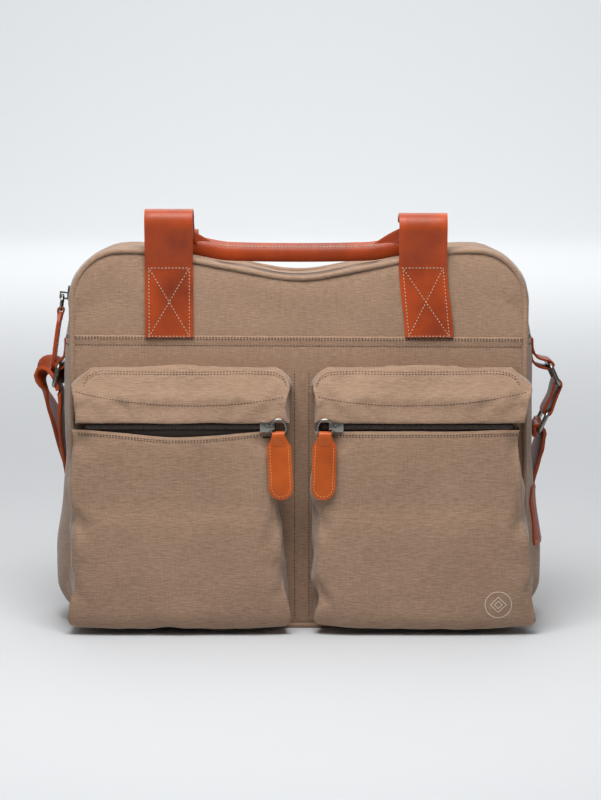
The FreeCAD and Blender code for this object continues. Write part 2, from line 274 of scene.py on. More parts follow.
# First source times a share, plus the second source.
def shareOf(tree, first, share, second):
    return addNode(tree, "Math", {"operation": "MULTIPLY_ADD", 1: share}, {0: first, 2: second}).outputs[0]


def tintOf(tree, tone, dark, light):
    settings = {"data_type": "RGBA", 6: hexColour(dark), 7: hexColour(light)}
    return addNode(tree, "Mix", settings, {0: tone}).outputs[2]


# Cotton canvas, plain weave with slubs in the weft: matt, flecked, banded level to the ground.
def canvasMaterial(name, light, dark, seed):
    material, tree = startMaterial(name)
    coords = addNode(tree, "TexCoord")
    place = coords.outputs["Object"]
    # real yarn is 0.6 mm apart, drawn at 0.8 mm so that it shows
    weftScale = {"front": (150, 150, 1250), "top": (150, 1250, 150)}
    warpScale = {"front": (1100, 1100, 110), "top": (1100, 110, 110)}
    turn = addNode(tree, "SeparateXYZ", (), {0: coords.outputs["Normal"]})
    level = addNode(tree, "Math", {"operation": "ABSOLUTE"}, {0: turn.outputs[2]})
    up = rangeOf(tree, level.outputs[0], 0.6, 0.8)
    yarns = []
    for scales in (weftScale, warpScale):
        pair = []
        for key in ("front", "top"):
            shift = addNode(tree, "Mapping", {"Scale": scales[key], "Location": (seed, seed, 0)},
                            {"Vector": place})
            pair.append(noiseOf(tree, shift.outputs[0], 1.0, 2.0, 0.6))
        mix = addNode(tree, "Mix", {"data_type": "FLOAT"}, {0: up, 2: pair[0], 3: pair[1]})
        yarns.append(mix.outputs[0])
    weave = shareOf(tree, yarns[1], 0.4, yarns[0])
    blend = shareOf(tree, noiseOf(tree, place, 14.0, 4.0), 0.35, weave)
    colour = tintOf(tree, rangeOf(tree, blend, 0.4, 1.35), dark, light)
    endMaterial(tree, {"Roughness": 0.88, "Sheen Weight": 0.25, "Sheen Roughness": 0.5,
                       "Specular IOR Level": 0.3}, {"Base Color": colour}, [(weave, 0.0005, 0.55)])
    return material


# Vegetable-tanned cowhide, waxed: warm, slightly glossy, fine pores and faint creases.
def leatherMaterial(name, light, dark, rough, coat):
    material, tree = startMaterial(name)
    place = addNode(tree, "TexCoord").outputs["Object"]
    pores = addNode(tree, "TexVoronoi", {"Scale": 900.0}, {"Vector": place})
    creases = noiseOf(tree, place, 260.0, 6.0, 0.6)
    geometry = addNode(tree, "NewGeometry")
    # the tone is lighter on convex edges and darker in hollows, read from the mesh's pointiness: painted
    # shade in the hollows and a painted highlight on the edges
    edge = rangeOf(tree, geometry.outputs["Pointiness"], 0.47, 0.56)
    blend = shareOf(tree, edge, 0.35, noiseOf(tree, place, 30.0, 5.0))
    colour = tintOf(tree, rangeOf(tree, blend, 0.4, 0.95), dark, light)
    shine = rangeOf(tree, creases, toLow=rough - 0.08, toHigh=rough + 0.14)
    endMaterial(tree, {"Coat Weight": coat, "Coat Roughness": 0.35, "Specular IOR Level": 0.35},
                {"Base Color": colour, "Roughness": shine},
                [(creases, 0.0004, 0.35), (pores.outputs["Distance"], 0.0002, 0.25)])
    return material


# Die-cast zinc with satin nickel plating: grey mirror, broken up by fine polishing marks.
def nickelMaterial(name, tint, rough):
    material, tree = startMaterial(name)
    marks = noiseOf(tree, addNode(tree, "TexCoord").outputs["Object"], 700.0, 3.0)
    shine = rangeOf(tree, marks, toLow=rough - 0.06, toHigh=rough + 0.1)
    endMaterial(tree, {"Base Color": hexColour(tint), "Metallic": 1.0}, {"Roughness": shine},
                [(marks, 0.0001, 0.15)])
    return material


# Woven polyester tape, moulded nylon and sewing thread: plain dyed, with a fine rib.
def dyedMaterial(name, tint, deep, scale, rough):
    material, tree = startMaterial(name)
    rib = noiseOf(tree, addNode(tree, "TexCoord").outputs["Object"], scale, 2.0)
    endMaterial(tree, {"Roughness": rough}, {"Base Color": tintOf(tree, rib, deep, tint)},
                [(rib, 0.0003, 0.4)])
    return material


canvas = canvasMaterial("slubCanvas", "AF9079", "745A44", 0.0)
leather = leatherMaterial("tannedLeather", "B04410", "702608", 0.42, 0.05)
strapLeather = leatherMaterial("strapLeather", "B04610", "6A2608", 0.48, 0.03)
pullLeather = leatherMaterial("orangeLeather", "C65A10", "963C08", 0.44, 0.05)
nickel = nickelMaterial("satinNickel", "8E8C86", 0.26)
tapeCloth = dyedMaterial("zipTape", "2E211B", "1A120E", 900.0, 0.85)
coilNylon = dyedMaterial("zipNylon", "3A2B22", "20160F", 500.0, 0.45)
paleThread = dyedMaterial("paleThread", "C9B39C", "9A8069", 1500.0, 0.7)
darkThread = dyedMaterial("darkThread", "5A4234", "3A281E", 1500.0, 0.7)
pullThread = dyedMaterial("pullThread", "F0B27A", "B56A34", 1500.0, 0.6)
creamThread = dyedMaterial("creamThread", "E2D6C6", "C2B09A", 1500.0, 0.6)
greyBoard = dyedMaterial("greyBoard", "8C8880", "77736B", 500.0, 0.9)
liningCloth = dyedMaterial("liningCloth", "4A3B31", "33281F", 700.0, 0.9)
print("materials done")


# Cloth and sculpting helpers.

clothFeel = {"quality": 5, "mass": 0.3, "stretch": 25, "shear": 8}


# Blows the cloth up with air while its sewn edges are held, then keeps the result.
def inflate(piece, held, cloth):
    group = piece.vertex_groups.new(name="sewn")
    for index, weight in held.items():
        group.add([index], weight, "REPLACE")
    rest = [v.co.copy() for v in piece.data.vertices]
    modifier = piece.modifiers.new("cloth", "CLOTH")
    settings = modifier.settings
    settings.quality = clothFeel["quality"]
    settings.mass = clothFeel["mass"]
    settings.vertex_group_mass = "sewn"
    settings.use_pressure = True
    settings.uniform_pressure_force = cloth["pressure"]
    settings.shrink_min = -cloth["spare"]
    settings.tension_stiffness = clothFeel["stretch"]
    settings.compression_stiffness = clothFeel["stretch"]
    settings.shear_stiffness = clothFeel["shear"]
    settings.bending_stiffness = cloth["bending"]
    settings.effector_weights.gravity = 0
    modifier.collision_settings.use_collision = False
    for step in range(1, cloth["frames"] + 1):
        scene.frame_set(step)
    graph = bpy.context.evaluated_depsgraph_get()
    blown = piece.evaluated_get(graph).data
    moved = [v.co.copy() for v in blown.vertices]
    piece.modifiers.clear()
    piece.vertex_groups.clear()
    scene.frame_set(1)
    for vertex, start, end in zip(piece.data.vertices, rest, moved):
        step = end - start
        limit = cloth["cap"](start)
        if step.length > 1e-9:
            step *= limit * math.tanh(step.length / limit) / step.length
        vertex.co = start + step


# A crease or ridge along a line, raised along the way out by height (sunk where negative).
def pressFolds(piece, folds, out):
    for vertex in piece.data.vertices:
        lift = 0.0
        for fold in folds:
            far, t = nearSegment(vertex.co, fold[0], fold[1])
            width = fold[2]
            if far < 3 * width:
                ends = 0.35 + 0.65 * math.sin(math.pi * min(max(t, 0.02), 0.98))
                lift += fold[3] * ends * math.exp(-(far / width) ** 2)
        if lift:
            vertex.co += out * lift


def roughen(piece, size, height, seed):
    for vertex in piece.data.vertices:
        normal = vertex.normal.copy()
        vertex.co += normal * height * noise.noise(vertex.co / size + Vector((seed, seed, seed)))


def subdivide(piece, levels=1):
    modifier = piece.modifiers.new("smooth", "SUBSURF")
    modifier.levels = levels
    modifier.render_levels = levels
    applyModifiers(piece)


# Runs of short thread stitches laid on a surface.
def sewRow(bm, points, tree, look, spec, closed=False, share=0.72, reach=0.03):
    pitch, radius = spec["pitch"], spec["thread"]
    run = list(points) + ([points[0]] if closed else [])
    spots = []
    carry = 0.0
    for start, end in zip(run, run[1:]):
        length = (end - start).length
        if length < 1e-7:
            continue
        heading = (end - start) / length
        at = carry
        while at < length:
            spots.append((start + heading * at, heading))
            at += pitch
        carry = at - length
    for spot, heading in spots:
        place, normal = tree.ray_cast(spot - look * reach, look, 0.08)[:2]
        if not place:
            continue
        if normal.dot(look) >= 0:
            normal = -normal
        along = (heading - normal * heading.dot(normal)).normalized()
        side = normal.cross(along)
        turn = Matrix((along, side, normal)).transposed().to_4x4()
        half = pitch * share / 2
        stitch = bmesh.ops.create_icosphere(bm, subdivisions=1, radius=1.0)["verts"]
        shape = Matrix.Diagonal((half, radius, radius * 0.8, 1))
        move = Matrix.Translation(place + normal * radius * 0.25)
        bmesh.ops.transform(bm, matrix=move @ turn @ shape, verts=stitch)


# Smooth route through given points (Catmull-Rom); each point is a tuple of vectors.
def smoothRoute(points, steps):
    route = []
    count = len(points)
    for index in range(count - 1):
        around = [points[max(index - 1, 0)], points[index], points[index + 1],
                  points[min(index + 2, count - 1)]]
        for step in range(steps):
            t = step / steps
            mixed = []
            for a, b, c, d in zip(*around):
                mixed.append(0.5 * (2 * b + (c - a) * t + (2 * a - 5 * b + 4 * c - d) * t * t
                                    + (3 * b - a - 3 * c + d) * t ** 3))
            route.append(tuple(mixed))
    route.append(points[-1])
    return route


# Flat strip of leather laid from station to station; each is (centre, half width as a vector).
def stripMesh(stations, across=4):
    last = len(stations) - 1
    bm = gridMesh(across, last)
    for vertex in bm.verts:
        centre, half = stations[round((vertex.co.y + 1) / 2 * last)][:2]
        vertex.co = centre + half * vertex.co.x
    bmesh.ops.recalc_face_normals(bm, faces=bm.faces[:])
    return bm


def addWall(piece, thickness):
    wall = piece.modifiers.new("wall", "SOLIDIFY")
    wall.thickness = thickness
    wall.offset = 0


def addBevel(piece, width, degrees):
    edge = piece.modifiers.new("edge", "BEVEL")
    edge.width = width
    edge.segments = 2
    edge.limit_method = "ANGLE"
    edge.angle_limit = math.radians(degrees)


def leatherPiece(name, bm, thickness, bevel, body, material, replaced=()):
    piece = finishPiece(name, bm, None, material, replaced)
    addWall(piece, thickness)
    addBevel(piece, bevel, 50)
    applyModifiers(piece)
    if body:
        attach(piece, body)
    return piece


# A place in the frame, given in millimetres.
def at(x, y, z):
    return Vector((x, y, z)) * mm


# Round or flattened tube; sizes are the half thickness across the plane's normal and along it.
def tubeMesh(route, sizes, plane, sides=10, closed=False):
    last = len(route) if closed else len(route) - 1
    bm = gridMesh(sides, last)
    for vertex in bm.verts:
        index = round((vertex.co.y + 1) / 2 * last)
        here = route[index % len(route)]
        if closed:
            heading = route[(index + 1) % len(route)] - route[(index - 1) % len(route)]
        else:
            heading = route[min(index + 1, last)] - route[max(index - 1, 0)]
        outward = heading.cross(plane).normalized()
        upward = outward.cross(heading).normalized()
        angle = (vertex.co.x + 1) * math.pi
        vertex.co = here + outward * math.cos(angle) * sizes[0] + upward * math.sin(angle) * sizes[1]
    bmesh.ops.remove_doubles(bm, verts=bm.verts[:], dist=0.02 * mm)
    ends = boundary(bm)
    if ends:
        bmesh.ops.holes_fill(bm, edges=ends, sides=0)
    bmesh.ops.recalc_face_normals(bm, faces=bm.faces[:])
    return bm


# The CAD node's own shape with its facets merged and its edges rounded over.
def easedNode(node, piece, body, material, rounding):
    bm = bmesh.new()
    bm.from_mesh(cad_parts[node].data)
    bmesh.ops.remove_doubles(bm, verts=bm.verts[:], dist=0.01 * mm)
    bmesh.ops.dissolve_limit(bm, angle_limit=math.radians(1), verts=bm.verts[:], edges=bm.edges[:])
    made = finishPiece(piece, bm, None, material, [node])
    addBevel(made, rounding, 40)
    applyModifiers(made)
    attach(made, body)
    return made


# Main body: one sewn canvas shell.

bag = {
    "halfWidth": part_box("side_gusset_right")[1].x,
    "height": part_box("top_gusset_front")[1].z,
    "front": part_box("front_upper_panel")[0].y,
    "topRadius": 46 * mm,
    "baseRadius": 30 * mm,
    "sag": 25 * mm,
    "sagStart": 130 * mm,
    "yoke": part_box("front_upper_panel")[0].z,
    "columns": 56,
    "rows": 44,
    "sideBulge": 8 * mm,
    "rimPull": 5 * mm,
    "inset": 1 * mm,
    "centreArc": 22.7 * mm,
    "shoulderArc": 15 * mm,
    "slotLip": 1.8 * mm,
    "depths": (-44, -38, -32, -26, -20, -14, -7, -2.5, 2.5, 7, 14, 20, 26, 32, 38, 44),
    "cloth": {"pressure": 5.0, "spare": 0.035, "bending": 1.5, "frames": 18},
}
# (start x, start z, end x, end z, width, height), on the upper panel
shellFolds = [
    (-150, 300, -95, 262, 9, 1.2), (40, 292, 78, 258, 9, 1.2), (-60, 294, -20, 262, 11, -1.1),
    (-20, 288, 30, 280, 8, 1.0),
]
zipPath = {"slot": 7 * mm, "from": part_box("main_zip_coil")[0].z}


def topLine(x):
    far = abs(x)
    slope = bag["sag"] / bag["sagStart"]
    centreArc, shoulderArc = bag["centreArc"], bag["shoulderArc"]
    low = bag["height"] - bag["sag"]
    if far < centreArc:
        level = low + slope * centreArc / 2 + far * far * slope / (2 * centreArc)
    elif far < bag["sagStart"] - shoulderArc:
        level = low + slope * far
    elif far < bag["sagStart"] + shoulderArc:
        level = bag["height"] - slope * (bag["sagStart"] + shoulderArc - far) ** 2 / (4 * shoulderArc)
    else:
        level = bag["height"]
    into = far - (bag["halfWidth"] - bag["topRadius"])
    if into > 0:
        level -= bag["topRadius"] - math.sqrt(max(bag["topRadius"] ** 2 - into * into, 0))
    return level


def baseLine(x):
    into = abs(x) - (bag["halfWidth"] - bag["baseRadius"])
    if into <= 0:
        return 0.0
    return bag["baseRadius"] - math.sqrt(max(bag["baseRadius"] ** 2 - into * into, 0))


# Columns are even in the middle and follow the corner's arc near the sides.
def columnAt(u, half, radius):
    share = 0.8
    if abs(u) <= share:
        return u / share * (half - radius)
    angle = (abs(u) - share) / (1 - share) * math.pi / 2
    return math.copysign(half - radius + radius * math.sin(angle), u)


def bagCap(start):
    if start.z < 4 * mm:
        return 0.4 * mm
    if abs(start.y) > abs(bag["front"]) - 3 * mm:
        return 4.5 * mm if start.y > 0 else 2.2 * mm
    if start.z > bag["yoke"]:
        return 2.0 * mm
    return 1.6 * mm + 3 * mm * smoothStep(150 * mm, 105 * mm, start.z)


# The rims are drawn in a little, so the gussets stand out beyond the front and back panels.
def drawnIn(point):
    rim = smoothStep(18 * mm, 52 * mm, abs(point.y))
    edge = min(abs(point.x) / bag["halfWidth"], 1.0) ** 4
    return point.x - math.copysign(bag["rimPull"] * rim * edge, point.x)


def makeBagShell():
    bm = gridMesh(bag["columns"], bag["rows"])
    for vertex in bm.verts:
        x = columnAt(vertex.co.x, bag["halfWidth"], bag["topRadius"])
        low = baseLine(x)
        z = low + (topLine(x) - low) * (vertex.co.y + 1) / 2
        vertex.co = Vector((x, bag["front"] + bag["inset"], z))
    bmesh.ops.reverse_faces(bm, faces=[f for f in bm.faces if f.normal.y > 0])
    edges = boundary(bm)
    copy = bmesh.ops.duplicate(bm, geom=bm.verts[:] + bm.edges[:] + bm.faces[:])["geom"]
    backFaces = [g for g in copy if isinstance(g, bmesh.types.BMFace)]
    for vertex in newVerts(copy):
        vertex.co.y = -bag["front"] - bag["inset"]
    bmesh.ops.reverse_faces(bm, faces=backFaces)
    for depth in bag["depths"] + (-(bag["front"] + bag["inset"]) / mm,):
        grown = bmesh.ops.extrude_edge_only(bm, edges=edges)["geom"]
        fresh = set(newVerts(grown))
        for vertex in fresh:
            vertex.co.y = depth * mm
        edges = [e for e in newEdges(grown) if all(v in fresh for v in e.verts)]
    bmesh.ops.remove_doubles(bm, verts=bm.verts[:], dist=0.3 * mm)
    bmesh.ops.recalc_face_normals(bm, faces=bm.faces[:])
    piece = finishPiece("bagShell", bm, None, canvas, (
        "front_upper_panel", "front_lower_panel", "back_panel", "side_gusset_left",
        "side_gusset_right", "base_panel", "top_gusset_front", "top_gusset_back"))
    rimY = abs(bag["front"]) - 1.5 * mm
    held = {}
    for vertex in piece.data.vertices:
        x, y, z = vertex.co
        onOutline = (z > topLine(x) - 0.4 * mm or z < baseLine(x) + 0.4 * mm
                     or abs(x) > bag["halfWidth"] - 0.4 * mm)
        if onOutline and abs(y) > rimY:
            held[vertex.index] = 1.0
        elif onOutline and abs(y) < 14 * mm and z > bag["yoke"]:
            held[vertex.index] = 1.0
    inflate(piece, held, dict(bag["cloth"], cap=bagCap))
    shapeBagShell(piece)
    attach(piece, "bag")
    return piece


def shapeBagShell(piece):
    half = bag["halfWidth"]
    depth = abs(bag["front"])
    for vertex in piece.data.vertices:
        x, y, z = vertex.co
        side = smoothStep(half - 14 * mm, half - 2 * mm, abs(x))
        belly = 1 - (y / depth) ** 2
        low = smoothStep(bag["yoke"] + 6 * mm, bag["yoke"] - 30 * mm, z)
        sit = smoothStep(0, 30 * mm, z)
        swell = (0.2 + 0.8 * smoothStep(112 * mm, 60 * mm, z)) * bag["sideBulge"]
        vertex.co.x += math.copysign(swell * side * max(belly, 0) * low * sit, x)
        vertex.co.z = max(vertex.co.z, 0)
        vertex.co.x = drawnIn(vertex.co)
    roughen(piece, 55 * mm, 1.2 * mm, 3.0)
    yoke = bag["yoke"]
    front = bag["front"]
    folds = [(Vector((-half, front, yoke)), Vector((half, front, yoke - 2 * mm)), 2.2 * mm, -0.9 * mm)]
    for x, z, toX, toZ, width, height in shellFolds:
        folds.append((Vector((x * mm, front, z * mm)), Vector((toX * mm, front, toZ * mm)),
                      width * mm, height * mm))
    pressFolds(piece, folds, -yAxis)
    for vertex in piece.data.vertices:
        vertex.co.z = max(vertex.co.z, 0)
    bm = bmesh.new()
    bm.from_mesh(piece.data)
    slot = [f for f in bm.faces if abs(f.calc_center_median().y) < zipPath["slot"]
            and f.calc_center_median().z > zipPath["from"] and nearOutline(f.calc_center_median())]
    bmesh.ops.delete(bm, geom=slot, context="FACES")
    grown = bmesh.ops.extrude_edge_only(bm, edges=boundary(bm))["geom"]
    centre = Vector((0, 0, 0.16))
    for vertex in newVerts(grown):
        inward = Vector((centre.x - vertex.co.x, 0, centre.z - vertex.co.z)).normalized()
        vertex.co += inward * bag["slotLip"]
    bm.to_mesh(piece.data)
    bm.free()
    subdivide(piece)


def nearOutline(point):
    return point.z > topLine(point.x) - 3 * mm or abs(point.x) > bag["halfWidth"] - 3 * mm


bagShell = makeBagShell()
print("bag shell done")


# Pockets: soft box under a hood.

pocket = {
    "sewnAt": -53.4 * mm,
    "cornerRadius": 8 * mm,
    "hoodRadius": 15 * mm,
    "columns": 34,
    "rows": 30,
    "hoodRows": 9,
    "steps": 6,
    "proud": 1.5 * mm,
    "turn": 2.6 * mm,
    "hem": 2.0 * mm,
    "cloth": {"pressure": 3.5, "spare": 0.05, "bending": 0.8, "frames": 16},
    "hoodCloth": {"pressure": 3.0, "spare": 0.07, "bending": 0.6, "frames": 16},
}


# Front sheet with rounded corners, its sewn edges then carried back to the bag.
def softBox(name, low, high, frontY, rounds, rows, openEdge, replaced):
    bm = gridMesh(pocket["columns"], rows)
    middle = (low.x + high.x) / 2
    half = (high.x - low.x) / 2
    radius = rounds["radius"]
    for vertex in bm.verts:
        x = columnAt(vertex.co.x, half, radius)
        into = max(abs(x) - (half - radius), 0)
        cut = radius - math.sqrt(max(radius * radius - into * into, 0))
        bottom = low.z + (cut if rounds["bottom"] else 0)
        top = high.z - (cut if rounds["top"] else 0)
        vertex.co = Vector((middle + x, frontY, bottom + (top - bottom) * (vertex.co.y + 1) / 2))
    bmesh.ops.reverse_faces(bm, faces=[f for f in bm.faces if f.normal.y > 0])
    openLevel = high.z if openEdge == "top" else low.z
    rim = boundary(bm)
    edges = [e for e in rim if not all(abs(v.co.z - openLevel) < 0.1 * mm for v in e.verts)]
    rimVerts = {v for e in rim for v in e.verts}
    for vertex in rimVerts:
        vertex.co.y += pocket["turn"] if abs(vertex.co.z - openLevel) > 0.1 * mm else 0
    steps = pocket["steps"]
    turnY = frontY + pocket["turn"]
    for step in range(1, steps + 1):
        grown = bmesh.ops.extrude_edge_only(bm, edges=edges)["geom"]
        fresh = set(newVerts(grown))
        edges = [e for e in newEdges(grown) if all(v in fresh for v in e.verts)]
        share = step / steps
        for vertex in fresh:
            vertex.co.y = turnY + (pocket["sewnAt"] - turnY) * share
    hem = [e for e in bm.edges if e.is_boundary and all(abs(v.co.z - openLevel) < 0.1 * mm for v in e.verts)
           and all(v.co.y < frontY + 3 * mm for v in e.verts)]
    grown = bmesh.ops.extrude_edge_only(bm, edges=hem)["geom"]
    for vertex in newVerts(grown):
        vertex.co.y += pocket["hem"]
    bmesh.ops.recalc_face_normals(bm, faces=bm.faces[:])
    facing = sum(f.normal.y * f.calc_area() for f in bm.faces)
    if facing > 0:
        bmesh.ops.reverse_faces(bm, faces=bm.faces[:])
    return finishPiece(name, bm, None, canvas, replaced)


def holdSewn(piece, openLevel):
    held = {}
    for vertex in piece.data.vertices:
        if vertex.co.y > pocket["sewnAt"] - 1 * mm:
            held[vertex.index] = 1.0
        elif abs(vertex.co.z - openLevel) < 0.3 * mm:
            held[vertex.index] = 1.0
    return held


# Keeps the cloth behind the path of the pull that hangs from the zip.
def clearPull(piece, front):
    for vertex in piece.data.vertices:
        proud = front - vertex.co.y
        if proud > 0:
            strip = smoothStep(82 * mm, 110 * mm, vertex.co.z)
            most = 8 * mm + (pocket["proud"] - 8 * mm) * strip
            if vertex.co.z > 177 * mm:
                most = 3.2 * mm
            vertex.co.y = front - most * math.tanh(proud / most)


# How far the face's top edge rises or sags, in millimetres, from the channel (-1) to the outside (1).
def lipLevel(out, shape):
    inner, middle, outer = shape["lip"]
    if out < 0:
        return middle + (inner - middle) * smoothStep(0, -1, out)
    return middle + (outer - middle) * smoothStep(0, 1, out)


def makePocket(name, side, folds, hoodFolds, shape):
    faceLow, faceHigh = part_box(name + "_pocket_face")
    hoodLow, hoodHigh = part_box(name + "_pocket_hood")
    front = faceLow.y
    lower = softBox(name + "Pocket", faceLow, faceHigh, front, {"radius": pocket["cornerRadius"],
                    "bottom": True, "top": False}, pocket["rows"], "top",
                    [name + "_pocket_" + part
                     for part in ("face", "gusset_inner", "gusset_outer", "gusset_bottom")])
    inflate(lower, holdSewn(lower, faceHigh.z), dict(pocket["cloth"], cap=lambda p: 5.5 * mm))
    hood = softBox(name + "Hood", hoodLow, hoodHigh, front, {"radius": pocket["hoodRadius"],
                   "bottom": False, "top": True}, pocket["hoodRows"], "bottom", [name + "_pocket_hood"])
    for vertex in hood.data.vertices:   # the hood leans back towards its sewn top edge
        share = (vertex.co.z - hoodLow.z) / (hoodHigh.z - hoodLow.z)
        depth = (pocket["sewnAt"] - vertex.co.y)
        vertex.co.y += depth * 0.55 * smoothStep(0.35, 1.15, share)
    inflate(hood, holdSewn(hood, hoodLow.z), dict(pocket["hoodCloth"], cap=lambda p: 3.5 * mm))
    middle = (faceLow.x + faceHigh.x) / 2
    half = (faceHigh.x - faceLow.x) / 2
    for piece in (lower, hood):
        for vertex in piece.data.vertices:
            out = (vertex.co.x - middle) / half * side   # 1 at the outer edge, -1 at the channel
            drop = 1 - vertex.co.z / faceHigh.z
            if out > 0.8:
                vertex.co.x += side * 4 * mm * max(drop, 0) * smoothStep(0.8, 1.0, out)
    for vertex in lower.data.vertices:
        out = (vertex.co.x - middle) / half * side
        z = vertex.co.z
        pullIn = smoothStep(-0.5, -1.0, out) * smoothStep(15 * mm, 150 * mm, z) * shape["innerPull"]
        pullIn -= smoothStep(0.6, 1.0, out) * smoothStep(35 * mm, 160 * mm, z) * shape["outerPull"]
        vertex.co.x += side * pullIn * mm
        vertex.co.z += lipLevel(out, shape) * mm * smoothStep(148 * mm, faceHigh.z, z)
        vertex.co.z -= 2.5 * mm * (1 - smoothStep(0, 34 * mm, z - faceLow.z))
    for vertex in hood.data.vertices:
        out = (vertex.co.x - middle) / half * side
        level = vertex.co.z / mm   # the numbers below are heights in millimetres
        knob = math.exp(-((level - 209) / 5) ** 2) * smoothStep(0.86, 1.0, abs(out))
        narrow = smoothStep(211, 219, level) * smoothStep(0.8, 1.0, out) * shape["topPull"]
        narrow += smoothStep(193, 180, level) * smoothStep(0.8, 1.0, out) * shape["lowPull"]
        vertex.co.x += (math.copysign(3.0, out) * knob - narrow) * side * mm
        if vertex.co.y < front + 30 * mm:
            rolled = smoothStep(192, 184, level)
            bowl = math.exp(-((level - 207) / 6) ** 2) * smoothStep(1.0, 0.6, abs(out))
            vertex.co.y += (2.6 * bowl - 2.2 * rolled) * mm
            sag = shape["hoodSag"] * math.sin(math.pi * (out + 1) / 2) ** 2
            vertex.co.z -= (2.2 + sag) * mm * rolled
    place = lambda a, z: Vector((middle + a * side * half, front, z * mm))
    for piece, rows in ((lower, folds), (hood, hoodFolds)):
        pressFolds(piece, [(place(a, z), place(b, y), w * mm, h * mm) for a, z, b, y, w, h in rows], -yAxis)
    for piece, seed in ((lower, 5.0 + side), (hood, 9.0 + side)):
        roughen(piece, 30 * mm, 0.8 * mm, seed)
        clearPull(piece, front)
        subdivide(piece)
        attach(piece, "bag")
    return lower, hood


# Folds are (start out, start z, end out, end z, width, height): out is -1 at the channel, 1 outside.
leftFolds = [
    (0.85, 158, 0.25, 126, 8, -2.6), (-0.55, 158, -0.05, 130, 8, -2.2), (0.1, 150, 0.05, 128, 10, 1.5),
    (0.95, 168, 0.62, 118, 4.5, -2.6), (0.84, 166, 0.5, 112, 5, 2.4), (0.86, 140, 0.9, 70, 4.5, -1.4),
    (-0.82, 168, -0.95, 110, 5, -2.8), (-0.9, 60, -0.55, 16, 6, 2.6), (0.2, 162, -0.4, 150, 6, -1.6),
    (-0.5, 20, 0.6, 15, 7, 2.2), (0.5, 60, 0.88, 24, 8, 2.2), (-0.2, 108, 0.4, 86, 14, -1.8),
    (-0.75, 90, -0.9, 40, 6, -2.4), (0.3, 44, -0.2, 30, 9, -1.6),
]
rightFolds = [
    (-0.7, 158, -0.2, 128, 8, -2.2), (0.5, 158, 0.15, 130, 8, -2.0),
    (0.97, 172, 0.8, 114, 4, 3.4), (0.88, 168, 0.68, 108, 4.5, -3.4), (0.78, 166, 0.5, 120, 5, 2.0),
    (-0.86, 165, -0.93, 104, 5, -2.6), (-0.95, 50, -0.66, 12, 6, 2.8), (-0.3, 162, 0.3, 154, 6, -1.5),
    (-0.5, 18, 0.5, 13, 7, 2.2), (0.6, 70, 0.92, 22, 8, 2.4), (0, 118, 0.5, 92, 14, -1.8),
    (0.86, 110, 0.9, 40, 5, -1.6), (-0.7, 84, -0.9, 36, 6, -2.0),
]
hoodFoldsBoth = [
    (-0.95, 201, -0.35, 192, 2.6, -1.6), (-0.35, 192, 0.4, 192, 2.6, -1.8), (0.4, 192, 0.95, 203, 2.6, -1.6),
    (-0.9, 207, -0.2, 200, 4, 1.6), (-0.2, 200, 0.5, 199, 4, 1.5), (0.5, 199, 0.95, 209, 4, 2.0),
    (-0.92, 195, -0.55, 186, 3.5, 1.8), (0.97, 200, 0.66, 184, 3.5, 2.4), (0.86, 208, 0.5, 190, 3.5, -2.0),
    (0.99, 212, 0.9, 202, 4.5, 3.2), (-0.1, 188, 0.35, 185, 4, -1.2), (-0.97, 212, -0.86, 200, 4, -1.8),
]
leftShape = {
    "innerPull": 12, "outerPull": 0, "topPull": 9, "lowPull": 3, "hoodSag": 0.4, "lip": (1.6, -3.8, 2.4),
}
rightShape = {
    "innerPull": 0, "outerPull": 10, "topPull": 10, "lowPull": 6, "hoodSag": 0.6, "lip": (1.0, 1.0, 2.2),
}
leftPocket, leftHood = makePocket("left", -1, leftFolds, hoodFoldsBoth, leftShape)
rightPocket, rightHood = makePocket("right", 1, rightFolds, hoodFoldsBoth, rightShape)
print("pockets done")


# Piping: a canvas roll round both rims of the bag.
piping = {"radius": 2.1 * mm, "inset": 1.0 * mm, "y": 52.0 * mm, "points": 44}


def outlineRoute(inset):
    half = bag["halfWidth"]
    count = piping["points"]
    top = []
    for index in range(count * 2 + 1):
        x = columnAt(index / count - 1, half, bag["topRadius"])
        top.append(Vector((x, 0, topLine(x))))
    low = []
    for index in range(count + 1):
        x = columnAt(1 - 2 * index / count, half, bag["baseRadius"])
        low.append(Vector((x, 0, baseLine(x))))
    sideRun = [low[0].lerp(top[-1], step / 16) for step in range(15, 0, -1)]
    backRun = [low[-1].lerp(top[0], step / 16) for step in range(1, 16)]
    ring = top + sideRun + low + backRun
    route = []
    for index, point in enumerate(ring):
        heading = ring[(index + 1) % len(ring)] - ring[index - 1]
        route.append(point + heading.cross(yAxis).normalized() * -inset)
    return route


def shifted(route, y):
    moved = [Vector((p.x, y, max(p.z, piping["radius"]))) for p in route]
    return [Vector((drawnIn(p), p.y, p.z)) for p in moved]


for name, sign in (("front", -1), ("back", 1)):
    route = shifted(outlineRoute(piping["inset"]), sign * piping["y"])
    roll = tubeMesh(route, (piping["radius"], piping["radius"]), yAxis, 10, True)
    finishPiece(name + "Piping", roll, "bag", canvas, [name + "_piping"])
print("piping done")


# Seams of the body: lapped hem on the yoke with two rows of thread.
seam = {"pitch": 2.6 * mm, "thread": 0.42 * mm, "hem": 10.5 * mm, "frontLap": 1.0 * mm, "twin": 1.5}
bodyTree = treeOf(bagShell)


def ontoTree(tree, spot, look, reach=0.03):
    hit = tree.ray_cast(spot - look * reach, look, 0.1)
    return hit[0] if hit[0] else None


